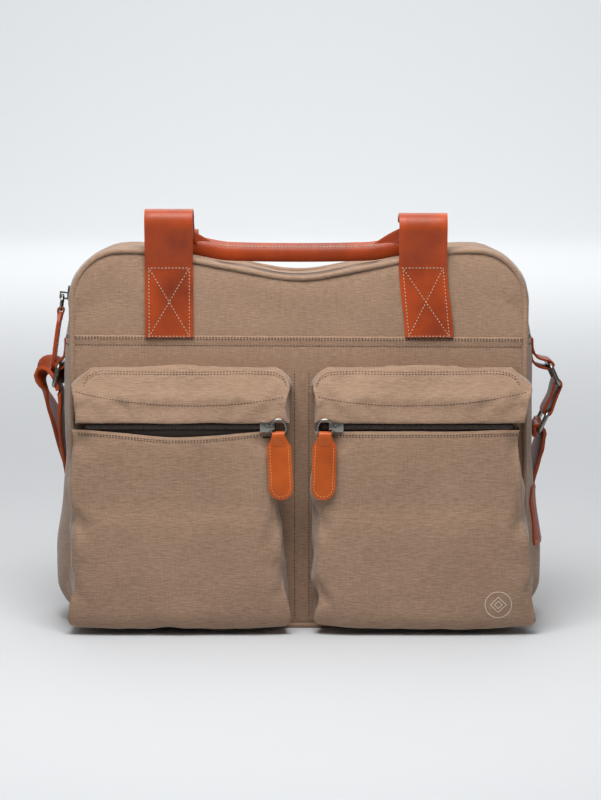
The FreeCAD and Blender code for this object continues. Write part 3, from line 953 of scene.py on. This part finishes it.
# Lapped edge of cloth: thick at its folded edge, run out into the cloth beyond it.
def hemStrip(name, points, tree, look, width, lap, up, body, material):
    profile = [(0.0, -0.4 * mm), (0.0, lap), (0.35 * width, lap), (width, -0.35 * mm)]
    last = len(points) - 1
    bm = gridMesh(3, last)
    for vertex in bm.verts:
        across, lift = profile[round((vertex.co.x + 1) * 1.5)]
        place = points[round((vertex.co.y + 1) / 2 * last)] + up * across
        spot = ontoTree(tree, place, look) or place
        vertex.co = spot - look * lift
    bmesh.ops.recalc_face_normals(bm, faces=bm.faces[:])
    if sum(f.normal.dot(look) * f.calc_area() for f in bm.faces) > 0:
        bmesh.ops.reverse_faces(bm, faces=bm.faces[:])
    return finishPiece(name, bm, body, material)


def lineOf(start, end, steps):
    return [start.lerp(end, step / steps) for step in range(steps + 1)]


yokeLevel = bag["yoke"] / mm
yokeLine = lineOf(at(-187, -51, yokeLevel + 3), at(187, -51, yokeLevel + 1), 90)
hemStrip("yokeHem", yokeLine, bodyTree, yAxis, seam["hem"], seam["frontLap"], -zAxis, "bag", canvas)
backLine = lineOf(at(-187, 51, yokeLevel + 2), at(187, 51, yokeLevel + 2), 90)
hemStrip("yokeHemBack", backLine, bodyTree, -yAxis, seam["hem"], seam["frontLap"], -zAxis, "bag", canvas)
hemTree = treeOf(bpy.data.objects["yokeHem"], bpy.data.objects["yokeHemBack"], bagShell)
bodyThread = bmesh.new()
for lift in (0.4, 0.4 - seam["twin"], -6.4):
    for side, look in ((-1, yAxis), (1, -yAxis)):
        row = lineOf(at(-186, side * 60, yokeLevel + 1 + lift), at(186, side * 60, yokeLevel - 1 + lift), 20)
        sewRow(bodyThread, row, hemTree, look, seam)
    for side in (-1, 1):
        row = lineOf(at(side * 210, -46, yokeLevel + lift), at(side * 210, 46, yokeLevel + lift), 8)
        sewRow(bodyThread, row, bodyTree, -xAxis * side, seam)
finishPiece("bodyStitches", bodyThread, "bag", darkThread)
print("body seams done")


# Pocket hems and stitching; rows are heights up the pocket.
pocketSeam = {
    "hoodTop": (219.6, 217.8),
    "hoodMid": 197.0,
    "underZip": 167.6,
    "channel": 4.5,
}


def sewPocket(name, side, tree, shape):
    low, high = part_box(name + "_pocket_face")
    x0, x1 = low.x / mm, high.x / mm
    thread = bmesh.new()
    for level in pocketSeam["hoodTop"]:
        left, right = (x0 + 13, x1 - 5) if side < 0 else (x0 + 5, x1 - 13)
        route = [at(left - 3, -80, level - 9), at(left, -80, level - 4), at(left + 6, -80, level - 0.8)]
        route += lineOf(at(left + 12, -80, level), at(right - 12, -80, level), 10)
        route += [at(right - 6, -80, level - 0.8), at(right, -80, level - 4), at(right + 3, -80, level - 9)]
        sewRow(thread, route, tree, yAxis, seam)
    dip = pocketSeam["hoodMid"]
    route = []
    for index in range(21):
        share = index / 20
        outer = share if side > 0 else 1 - share
        sag = -9 * math.sin(math.pi * share) ** 0.8 + 4 * outer
        route.append(at(x0 + 4 + (x1 - x0 - 8) * share, -80, dip + sag + 3))
    sewRow(thread, route, tree, yAxis, seam)
    for drop in (0, seam["twin"]):
        route = []
        for index in range(25):
            out = index / 12 - 1
            level = pocketSeam["underZip"] - drop + lipLevel(out * side, shape)
            route.append(at((x0 + x1) / 2 + out * ((x1 - x0) / 2 - 6), -80, level))
        sewRow(thread, route, tree, yAxis, seam)
    finishPiece(name + "PocketStitches", thread, "bag", darkThread)
    channelX = x1 + pocketSeam["channel"] if side < 0 else x0 - pocketSeam["channel"]
    rows = bmesh.new()
    sewRow(rows, lineOf(at(channelX, -60, 216), at(channelX, -60, 10), 10), bodyTree, yAxis,
           seam)
    finishPiece(name + "ChannelStitches", rows, "bag", darkThread)


leftTree = treeOf(leftPocket, leftHood)
rightTree = treeOf(rightPocket, rightHood)
sewPocket("left", -1, leftTree, leftShape)
sewPocket("right", 1, rightTree, rightShape)
print("pocket seams done")


# Handles: a strap sewn to the panel, up, over and down, gathered into the grip.
handle = {
    "half": 20 * mm,
    "thickness": 3.2 * mm,
    "bevel": 0.7 * mm,
    "centre": 108,
    "tabLow": 247,
    "pitch": 2.9 * mm,
    "thread": 0.5 * mm,
    "inset": 3.2,
}


# Stations are (y, z) from the tab's lower edge; the last ones turn towards the grip.
def strapStations(x, side, profile, turnIn, lean):
    points = []
    for y, z in profile:
        points.append((at(x + leanAt(z, lean), y, z), xAxis * handle["half"]))
    for shift, y, z, wide, tall in turnIn:
        points.append((at(x - side * shift, y, z), Vector((wide, 0, side * tall)) * mm))
    return smoothRoute(points, 5)


# Sideways lean of a strap, in millimetres: sewn on slightly askew.
def leanAt(z, lean):
    low = smoothStep(306, 246, z)
    return lean * (low * 0.2 - (1 - low))


def tabStitches(thread, x, sign, top, tree, lean):
    inset = handle["inset"]
    y = sign * 64
    low, high = handle["tabLow"] + 1, top
    corners = []
    for side, z in ((-1, low), (1, low), (1, high), (-1, high)):
        corners.append(at(x + leanAt(z, lean) + side * (20 - inset), y, z))
    look = yAxis * -sign
    for run, closed in ((corners, True), (corners[0::2], False), (corners[1::2], False)):
        sewRow(thread, run, tree, look, handle, closed, 0.72, 0)


def makeHandle(name, sign, profiles, turns, grip):
    body = name + "_handle"
    thread = bmesh.new()
    for label, side in (("left", -1), ("right", 1)):
        x = side * handle["centre"]
        tabY = sign * 54.9
        tab = [(tabY, handle["tabLow"]), (tabY, 262), (tabY, 284), (tabY, 304)]
        lean = grip["lean"][label]
        stations = strapStations(x, side, tab + profiles[label], turns[label], lean)
        piece = leatherPiece(name + "Strap" + label.capitalize(), stripMesh(stations, 6),
                             handle["thickness"], handle["bevel"], None, leather,
                             [name + "_handle_tab_" + label, name + "_handle_strap_" + label])
        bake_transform(piece)
        tabStitches(thread, x, sign, grip["stitchTop"], treeOf(piece), lean)
    finishPiece(name + "TabStitches", thread, "bag", paleThread)
    low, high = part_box(name + "_handle_grip")
    y = (low.y + high.y) / 2
    route = []
    for index in range(49):
        share = index / 24 - 1
        lift = grip["rise"] * smoothStep(0.62, 1.0, abs(share)) + grip["sag"] * share * share
        route.append(Vector((share * grip["reach"] * mm, y, (grip["level"] + lift) * mm)))
    roll = tubeMesh(route, (grip["tall"] * mm, grip["thick"] * mm), yAxis, 16)
    for vertex in roll.verts:   # folded leather: pinched along the sewn top edge
        level = min(route, key=lambda p: abs(p.x - vertex.co.x)).z
        share = (vertex.co.z - level) / (grip["tall"] * mm)
        if share > 0.2:
            vertex.co.y = y + (vertex.co.y - y) * (1 - 0.45 * smoothStep(0.2, 0.9, share))
    piece = finishPiece(name + "Grip", roll, body, leather, [name + "_handle_grip"])
    subdivide(piece)
    rows = bmesh.new()
    for face in (-1, 1):
        row = [p + Vector((0, face * 0.03, grip["tall"] * mm * 0.55)) for p in route
               if abs(p.x) < 66 * mm]
        sewRow(rows, row, treeOf(piece), yAxis * -face, handle)
    finishPiece(name + "GripStitches", rows, body, paleThread)


frontProfiles = {
    "left": [(-56.2, 313), (-58.4, 322), (-60.8, 333), (-62.4, 342.5), (-60.6, 349.5), (-54.5, 352.3),
             (-46, 352.0), (-37.5, 350.6), (-31, 347)],
    "right": [(-56.2, 313), (-58.4, 322), (-60.6, 332), (-62.0, 339.5), (-60.0, 346), (-54, 349.0),
              (-46, 348.6), (-38, 347.0), (-32, 343.5)],
}
frontTurns = {
    "left": [(2, -27.5, 341, 18, 1), (7, -25, 334.5, 14, 6), (15, -23, 329.5, 9, 9),
             (25, -21.8, 324.5, 3, 8), (38, -21, 319, 0.5, 4)],
    "right": [(2, -28, 338.5, 18, 1), (9, -25.5, 334.5, 13, 7), (19, -23, 331, 8, 9.5),
              (31, -21.8, 325.5, 3, 8.5), (46, -21, 319, 0.5, 4)],
}
frontGrip = {
    "fold": ((-56.2, 313), (-53.7, 321.2)), "lean": {"left": 0, "right": 4.5}, "reach": 93, "level": 316.0,
    "rise": 4.0, "sag": 2.5, "tall": 8.2, "thick": 3.6, "stitchTop": 305,
}
makeHandle("front", -1, frontProfiles, frontTurns, frontGrip)
rearProfile = [(54.9, 314), (56.0, 321), (60, 328.5), (65.5, 330), (70.5, 326.5), (73.0, 318), (73.3, 306),
               (73.2, 292)]
rearTurn = [(0, 73.4, 283, 19, 1), (4, 75, 276.5, 15, 6), (12, 77.2, 271, 10, 9), (24, 78.4, 268.3, 3, 10.5),
            (36, 78.4, 267.4, 0.5, 9)]
rearGrip = {
    "fold": ((56.5, 322), (67.5, 322)), "lean": {"left": 0, "right": 0}, "reach": 90, "level": 267.3,
    "rise": 1, "sag": 1, "tall": 10.5, "thick": 4.0, "stitchTop": 305,
}
makeHandle("rear", 1, dict.fromkeys(("left", "right"), rearProfile),
           dict.fromkeys(("left", "right"), rearTurn), rearGrip)
print("handles done")


# Zip fasteners: woven tape, a nylon coil on it and the coil's teeth.
zipper = {"pitch": 2.3 * mm, "tooth": (0.7, 0.8, 1.7), "tape": 0.8 * mm}


# Teeth on both sides of a route; out points away from the tape, across is the way they lie.
def teethAlong(route, out, across, lift):
    bm = bmesh.new()
    gap = 0.0
    count = 0
    for start, end in zip(route, route[1:]):
        run = end - start
        length = run.length
        heading = run.normalized()
        place = gap
        while place < length:
            spot = start + heading * place
            outward = out(spot)
            side = across * (1 if count % 2 else -1)
            turn = Matrix((heading, outward, across)).transposed().to_4x4()
            shape = Matrix.Diagonal([size * mm for size in zipper["tooth"]] + [1])
            move = Matrix.Translation(spot + side * 1.0 * mm + outward * lift)
            bmesh.ops.create_icosphere(bm, subdivisions=1, radius=1.0, matrix=move @ turn @ shape)
            count += 1
            place += zipper["pitch"] / 2
        gap = place - length
    bmesh.ops.recalc_face_normals(bm, faces=bm.faces[:])
    return bm


def clothStrip(name, stations, thickness, body, material, replaced, across=4):
    piece = finishPiece(name, stripMesh(stations, across), None, material, replaced)
    addWall(piece, thickness)
    applyModifiers(piece)
    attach(piece, body)
    return piece


def pocketZip(name):
    low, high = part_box(name + "_zip_tape")
    low.x, high.x = (low.x + 10 * mm, -19 * mm) if name == "left" else (20 * mm, high.x - 14 * mm)
    ends = low.x, high.x
    y = (low.y + high.y) / 2
    z = (low.z + high.z) / 2
    stations = []
    for index in range(41):
        share = index / 40
        wave = 0.5 * mm * math.sin(share * 9) * math.sin(math.pi * share)
        centre = Vector((low.x + (high.x - low.x) * share, y + wave, z))
        stations.append((centre, zAxis * (high.z - low.z) / 2))
    clothStrip(name + "ZipTape", stations, zipper["tape"], "bag", tapeCloth,
               [name + "_zip_tape"])
    low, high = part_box(name + "_zip_coil")
    y = (low.y + high.y) / 2
    route = lineOf(Vector((ends[0], y, z)), Vector((ends[1], y, z)), 40)
    coil = tubeMesh(route, (2.6 * mm, 0.8 * mm), yAxis, 10)
    finishPiece(name + "ZipCoil", coil, "bag", coilNylon, [name + "_zip_coil"])
    teeth = teethAlong(route, lambda spot: -yAxis, zAxis, 0.5 * mm)
    finishPiece(name + "ZipTeeth", teeth, "bag", coilNylon)


def mainZip():
    top = outlineRoute(2.5 * mm)[:piping["points"] * 2 + 1]
    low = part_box("main_zip_tape")[0].z
    start = Vector((top[0].x, 0, low))
    end = Vector((top[-1].x, 0, low))
    route = [start, start.lerp(top[0], 0.5)] + top + [end.lerp(top[-1], 0.5), end]
    clothStrip("mainZipTape", [(p, yAxis * 13 * mm) for p in route], zipper["tape"], "bag",
               tapeCloth, ["main_zip_tape"], 6)
    middle = at(0, 0, 150)
    outward = lambda spot: Vector((spot.x - middle.x, 0, (spot.z - middle.z) * 1.4)).normalized()
    raised = [p + outward(p) * 1.4 * mm for p in route]
    coil = tubeMesh(raised, (0.7 * mm, 2.7 * mm), yAxis, 10)
    finishPiece("mainZipCoil", coil, "bag", coilNylon, ["main_zip_coil"])
    finishPiece("mainZipTeeth", teethAlong(raised, outward, yAxis, 0.4 * mm), "bag", coilNylon)


pocketZip("left")
pocketZip("right")
mainZip()
print("zips done")


# Sliders, round rings and leather pulls.
pull = {
    "half": 10.0,
    "neck": 6.0,
    "length": 54.0,
    "shoulder": 11.0,
    "leather": 2.6 * mm,
    "loopLeather": 1.3 * mm,
    "loopHalf": 5.2,
    "border": 2.4,
    "pitch": 2.6 * mm,
    "thread": 0.42 * mm,
}
ring = {"centre": 6.4, "wire": 1.2}


def ringMesh(centre, radius, wire):
    bm = bmesh.new()
    bmesh.ops.create_circle(bm, cap_ends=False, segments=12, radius=wire * mm,
                            matrix=Matrix.Translation(centre + at(radius, 0, 0)))
    bmesh.ops.spin(bm, geom=bm.verts[:] + bm.edges[:], cent=centre, axis=yAxis,
                   angle=2 * math.pi, steps=36, use_merge=True)
    bmesh.ops.remove_doubles(bm, verts=bm.verts[:], dist=0.001 * mm)
    bmesh.ops.recalc_face_normals(bm, faces=bm.faces[:])
    return bm


# Half width of the pull at a distance below its hinge.
def pullHalf(down):
    if down < pull["shoulder"]:
        share = smoothStep(1.5, pull["shoulder"], down)
        return pull["neck"] + (pull["half"] - pull["neck"]) * share
    rest = pull["length"] - down
    if rest < pull["half"]:
        return math.sqrt(max(pull["half"] ** 2 - (pull["half"] - rest) ** 2, 0.8))
    return pull["half"]


# Hangs from its hinge at the origin: down along -Z, its face towards -Y.
def makePull(name, place, tint):
    body = name + "_pull"
    bottom = pull["length"] - pull["half"]
    depths = [2, 3.5, 5, 6.5, 8, 10, 12, 18, 26, 34, bottom]
    depths += [bottom + pull["half"] * math.sin(math.radians(a)) for a in (10, 25, 40, 52, 64, 75, 84, 90)]
    stations = []
    for down in depths:
        bow = 0.5 * math.sin(math.pi * down / pull["length"])
        stations.append((at(0, -bow, -down), xAxis * pullHalf(down) * mm))
    face = leatherPiece(name + "Pull", stripMesh(stations, 8), pull["leather"], 0.5 * mm, None,
                        tint, [name + "_pull"])
    around = [(-1.25, -9), (-1.6, -4), (-2.4, -1)]
    around += [(-2.5 * math.cos(math.radians(a)), 2.5 * math.sin(math.radians(a)))
               for a in (20, 50, 90, 130, 160)]
    around += [(2.4, -1), (1.6, -4), (1.25, -9)]
    wrapped = stripMesh([(at(0, y, z), xAxis * pull["loopHalf"] * mm) for y, z in around], 4)
    loop = leatherPiece(name + "PullLoop", wrapped, pull["loopLeather"], 0.3 * mm, None, tint)
    border = []
    inset = pull["border"]
    down = pull["shoulder"] - 1
    while down < bottom:
        border.append(down)
        down += 4
    left = [at(-(pullHalf(d) - inset), 0, -d) for d in border]
    turn = []
    radius = pull["half"] - inset
    for degrees in range(0, 181, 15):
        angle = math.radians(degrees)
        turn.append(at(-radius * math.cos(angle), 0, -bottom - radius * math.sin(angle)))
    right = [at(pullHalf(d) - inset, 0, -d) for d in reversed(border)]
    thread = bmesh.new()
    tree = treeOf(face)
    for look in (yAxis, -yAxis):
        sewRow(thread, left + turn + right, tree, look, pull)
    stitches = finishPiece(name + "PullStitches", thread, None, pullThread)
    for piece in (face, loop, stitches):
        piece.data.transform(place)
        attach(piece, body)


def makeRing(name, place):
    hoop = finishPiece(name + "PullRing", ringMesh(at(0, 0, ring["centre"]), ring["centre"], ring["wire"]),
                       None, nickel, [name + "_pull_ring"])
    hoop.data.transform(place)
    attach(hoop, name + "_pull_ring")


for name in ("left", "right"):
    low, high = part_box(name + "_pull_ring")
    hinge = Vector(((low.x + high.x) / 2, (low.y + high.y) / 2, low.z + (high.y - low.y) / 2))
    place = Matrix.Translation(hinge) @ Matrix.Rotation(math.radians(-3 if name == "left" else 2), 4, "Y")
    makePull(name, place, pullLeather)
    makeRing(name, Matrix.Translation(hinge))
mainPlace = (Matrix.Translation(at(-203.37, 0, 265.75)) @ Matrix.Rotation(math.radians(8), 4, "Y")
             @ Matrix.Rotation(math.radians(-90), 4, "Z"))
makePull("main", mainPlace, leather)
makeRing("main", mainPlace)
for name in ("left", "right", "main"):
    easedNode(name + "_slider", name + "Slider", name + "_slider", nickel, 0.35 * mm)
print("pulls done")


# Side tabs, rectangular rings, the strap's connector and its buckle.
sideFitting = {
    "tabHalf": 17 * mm,
    "tabLeather": 1.9 * mm,
    "ringHalf": 21.0,
    "ringDrop": 18.0,
    "ringCorner": 4.0,
    "ringWire": 2.0,
    "left": {"hinge": (-204, 0, 220), "lean": 14},
    "right": {"hinge": (214, 0, 220), "lean": -24},
    "buckle": {"hinge": (212.32, 0, 179.56), "lean": 25},
}


def rectangleRoute(half, drop, radius):
    corners = [(-half, 0, 180), (half, 0, 90), (half, -drop, 0), (-half, -drop, 270)]
    route = []
    for y, z, start in corners:
        middleY = y - math.copysign(radius, y)
        middleZ = -radius if z == 0 else z + radius
        for step in range(7):
            angle = math.radians(start - step * 15)
            route.append(at(0, middleY + radius * math.cos(angle), middleZ + radius * math.sin(angle)))
    return route


def makeRectangle(name, body, spec, replaced):
    wire = sideFitting["ringWire"]
    route = rectangleRoute(sideFitting["ringHalf"], sideFitting["ringDrop"], sideFitting["ringCorner"])
    bar = tubeMesh(route, (wire * mm, wire * mm), xAxis, 12, True)
    hoop = finishPiece(name, bar, None, nickel, replaced)
    lean = Matrix.Rotation(math.radians(spec["lean"]), 4, "Y")
    hoop.data.transform(Matrix.Translation(at(*spec["hinge"])) @ lean)
    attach(hoop, body)


makeRectangle("sideRingLeft", "side_ring_left", sideFitting["left"], ["side_ring_left"])
makeRectangle("sideRingRight", "side_ring_right", sideFitting["right"], ["side_ring_right"])
makeRectangle("strapBuckle", "side_ring_right", sideFitting["buckle"], ["strap_buckle"])


def loopPiece(name, body, route, half, replaced):
    stations = smoothRoute([(at(x, 0, z), yAxis * half) for x, z in route], 4)
    return leatherPiece(name, stripMesh(stations, 4), sideFitting["tabLeather"], 0.5 * mm, body,
                        leather, replaced)


leftTab = [(-198.4, 243), (-198.8, 233), (-200.5, 226), (-204, 223.2), (-207.2, 220), (-204, 216.9),
           (-200.6, 218), (-198.2, 223), (-197.4, 234), (-197.3, 243)]
rightTab = [(198.6, 243), (199.4, 233), (203, 226.6), (209, 224.2), (214, 223.3), (217.2, 220), (214, 216.8),
            (208, 217.4), (202.5, 219.6), (198.6, 225), (197.4, 235), (197.3, 243)]
loopPiece("sideTabLeft", "bag", leftTab, sideFitting["tabHalf"], ["side_ring_tab_left"])
loopPiece("sideTabRight", "bag", rightTab, sideFitting["tabHalf"], ["side_ring_tab_right"])
connector = [(224.2, 202.4), (222.4, 206.4), (218.5, 204.7), (215.4, 192.6), (209.5, 180.6), (211.2, 176.8),
             (215.2, 178.4), (219.4, 190.5), (224.2, 202.4)]
loopPiece("strapConnector", "side_ring_right", connector, sideFitting["tabHalf"], ["strap_connector"])
tabTree = treeOf(bpy.data.objects["sideTabLeft"], bpy.data.objects["sideTabRight"])
tabThread = bmesh.new()
for sign in (-1, 1):
    for level in (231, 240):
        spots = lineOf(at(sign * 206, -15, level), at(sign * 206, 15, level), 6)
        sewRow(tabThread, spots, tabTree, -xAxis * sign, handle)
finishPiece("sideTabStitches", tabThread, "bag", paleThread)


# Shoulder strap: one leather ribbon, centre in millimetres and the way its width points.
strap = {
    "half": 19 * mm,
    "thickness": 3.0 * mm,
    "bevel": 0.7 * mm,
    "left": [
        ((-205.2, -1, 197), (0, 1, 0)),
        ((-207.2, 0, 206.4), (0, 1, 0.05)),
        ((-213.2, 5, 213.0), (-0.16, 0.95, 0.22)),
        ((-220.0, 11, 208.5), (-0.28, 0.9, 0.36)),
        ((-220.5, 18, 194), (-0.24, 0.88, 0.42)),
        ((-215, 28, 177), (-0.1, 0.9, 0.45)),
        ((-209.5, 45, 157), (0, 0.8, 0.6)),
        ((-203.5, 64, 132), (0.05, 0.8, 0.6)),
        ((-193, 84, 100), (0.3, 0.8, 0.5)),
    ],
    "behind": [
        ((-178, 98, 60), (0.5, 0.8, 0.3)),
        ((-158, 106, 28), (0.5, 0.85, 0.1)),
        ((-126, 116, 9), (0.25, 0.95, 0)),
        ((-80, 136, 2.6), (-0.3, 0.95, 0)),
        ((-20, 150, 2.6), (-0.05, 1, 0)),
        ((40, 146, 2.6), (0.15, 1, 0)),
        ((96, 132, 4), (0.25, 1, 0)),
        ((146, 114, 14), (0, 1, 0)),
        ((176, 98, 40), (-0.4, 0.9, 0.2)),
    ],
    "right": [
        ((191, 84, 76), (-0.3, 0.85, 0.45)),
        ((201, 62, 106), (-0.1, 0.85, 0.5)),
        ((205.5, 36, 130), (0, 0.9, 0.4)),
        ((207.8, 14, 148), (0, 1, 0.2)),
        ((208.6, 4, 158), (0, 1, 0.05)),
        ((207.4, 0, 166), (0, 1, 0)),
        ((203.4, 0, 167.4), (0, 1, 0)),
        ((201.4, 1, 161), (0, 1, 0)),
    ],
    "tail": [
        ((-204.6, 1, 197), (0, 1, 0)),
        ((-203.8, 2, 188), (0, 1, 0)),
        ((-204.8, 6, 172), (0, 1, 0.2)),
        ((-203.6, 24, 148), (0, 0.9, 0.45)),
        ((-201.5, 44, 122), (0, 0.85, 0.5)),
    ],
}


def strapLine(rows, steps=6):
    points = smoothRoute([(at(*centre), Vector(across)) for centre, across in rows], steps)
    stations = []
    for index, (centre, across) in enumerate(points):
        ahead = points[min(index + 1, len(points) - 1)][0]
        heading = (ahead - points[max(index - 1, 0)][0]).normalized()
        flat = across - heading * across.dot(heading)
        stations.append((centre, flat.normalized() * strap["half"]))
    return stations


whole = strapLine(strap["left"] + strap["behind"] + strap["right"])
firstCut = 6 * len(strap["left"])
secondCut = 6 * (len(strap["left"]) + len(strap["behind"]))


def makeStrap(name, stations, replaced, body=None):
    return leatherPiece(name, stripMesh(stations, 6), strap["thickness"], strap["bevel"], body,
                        strapLeather, replaced)


leftStrap = makeStrap("shoulderStrapLeft", whole[:firstCut + 1], ["shoulder_strap_left"])
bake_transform(leftStrap)
makeStrap("shoulderStrapBehind", whole[firstCut:secondCut + 1], ["shoulder_strap_behind"], "bag")
rightStrap = makeStrap("shoulderStrapRight", whole[secondCut:], ["shoulder_strap_right"])
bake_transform(rightStrap)
tail = makeStrap("shoulderStrapTail", strapLine(strap["tail"]), ["shoulder_strap_tail"])
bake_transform(tail)
print("strap done")


# Small leather patch low on the right gusset.
patch = {"y": (-38, -8), "z": (68, 118), "leather": 1.6 * mm}


def makePatch():
    bm = gridMesh(6, 10)
    for vertex in bm.verts:
        y = patch["y"][0] + (patch["y"][1] - patch["y"][0]) * (vertex.co.x + 1) / 2
        z = patch["z"][0] + (patch["z"][1] - patch["z"][0]) * (vertex.co.y + 1) / 2
        spot = ontoTree(bodyTree, at(230, y, z), -xAxis, 0)
        vertex.co = (spot or at(197, y, z)) + xAxis * patch["leather"] * 0.45
    bmesh.ops.recalc_face_normals(bm, faces=bm.faces[:])
    piece = leatherPiece("sidePatch", bm, patch["leather"], 0.4 * mm, "bag", leather,
                         ["side_patch_right"])
    thread = bmesh.new()
    for z in (patch["z"][0] + 3, patch["z"][1] - 3):
        row = lineOf(at(230, patch["y"][0] + 3, z), at(230, patch["y"][1] - 3, z), 4)
        sewRow(thread, row, treeOf(piece), -xAxis, handle)
    finishPiece("patchStitches", thread, "bag", paleThread)


makePatch()


# Plain stitched roundel with two diamonds in it, low on the right pocket.
roundel = {
    "centre": (166, 27),
    "radius": 11.0,
    "diamonds": (6.5, 3.2),
    "pitch": 1.4 * mm,
    "thread": 0.5 * mm,
}


def makeRoundel():
    x, z = roundel["centre"]
    circle = []
    for step in range(36):
        angle = math.radians(step * 10)
        out = roundel["radius"]
        circle.append(at(x + out * math.cos(angle), -80, z + out * math.sin(angle)))
    thread = bmesh.new()
    sewRow(thread, circle, rightTree, yAxis, roundel, True, 1.05)
    for reach in roundel["diamonds"]:
        corners = ((reach, 0), (0, reach), (-reach, 0), (0, -reach))
        diamond = [at(x + over, -80, z + up) for over, up in corners]
        sewRow(thread, diamond, rightTree, yAxis, roundel, True, 1.05)
    finishPiece("stitchedRoundel", thread, "bag", creamThread)


makeRoundel()
print("patch and roundel done")


# Inside parts keep their CAD shape.
for name, material in (("lining_front", liningCloth), ("lining_back", liningCloth),
                       ("base_board", greyBoard)):
    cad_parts[name].data.materials.clear()
    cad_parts[name].data.materials.append(material)
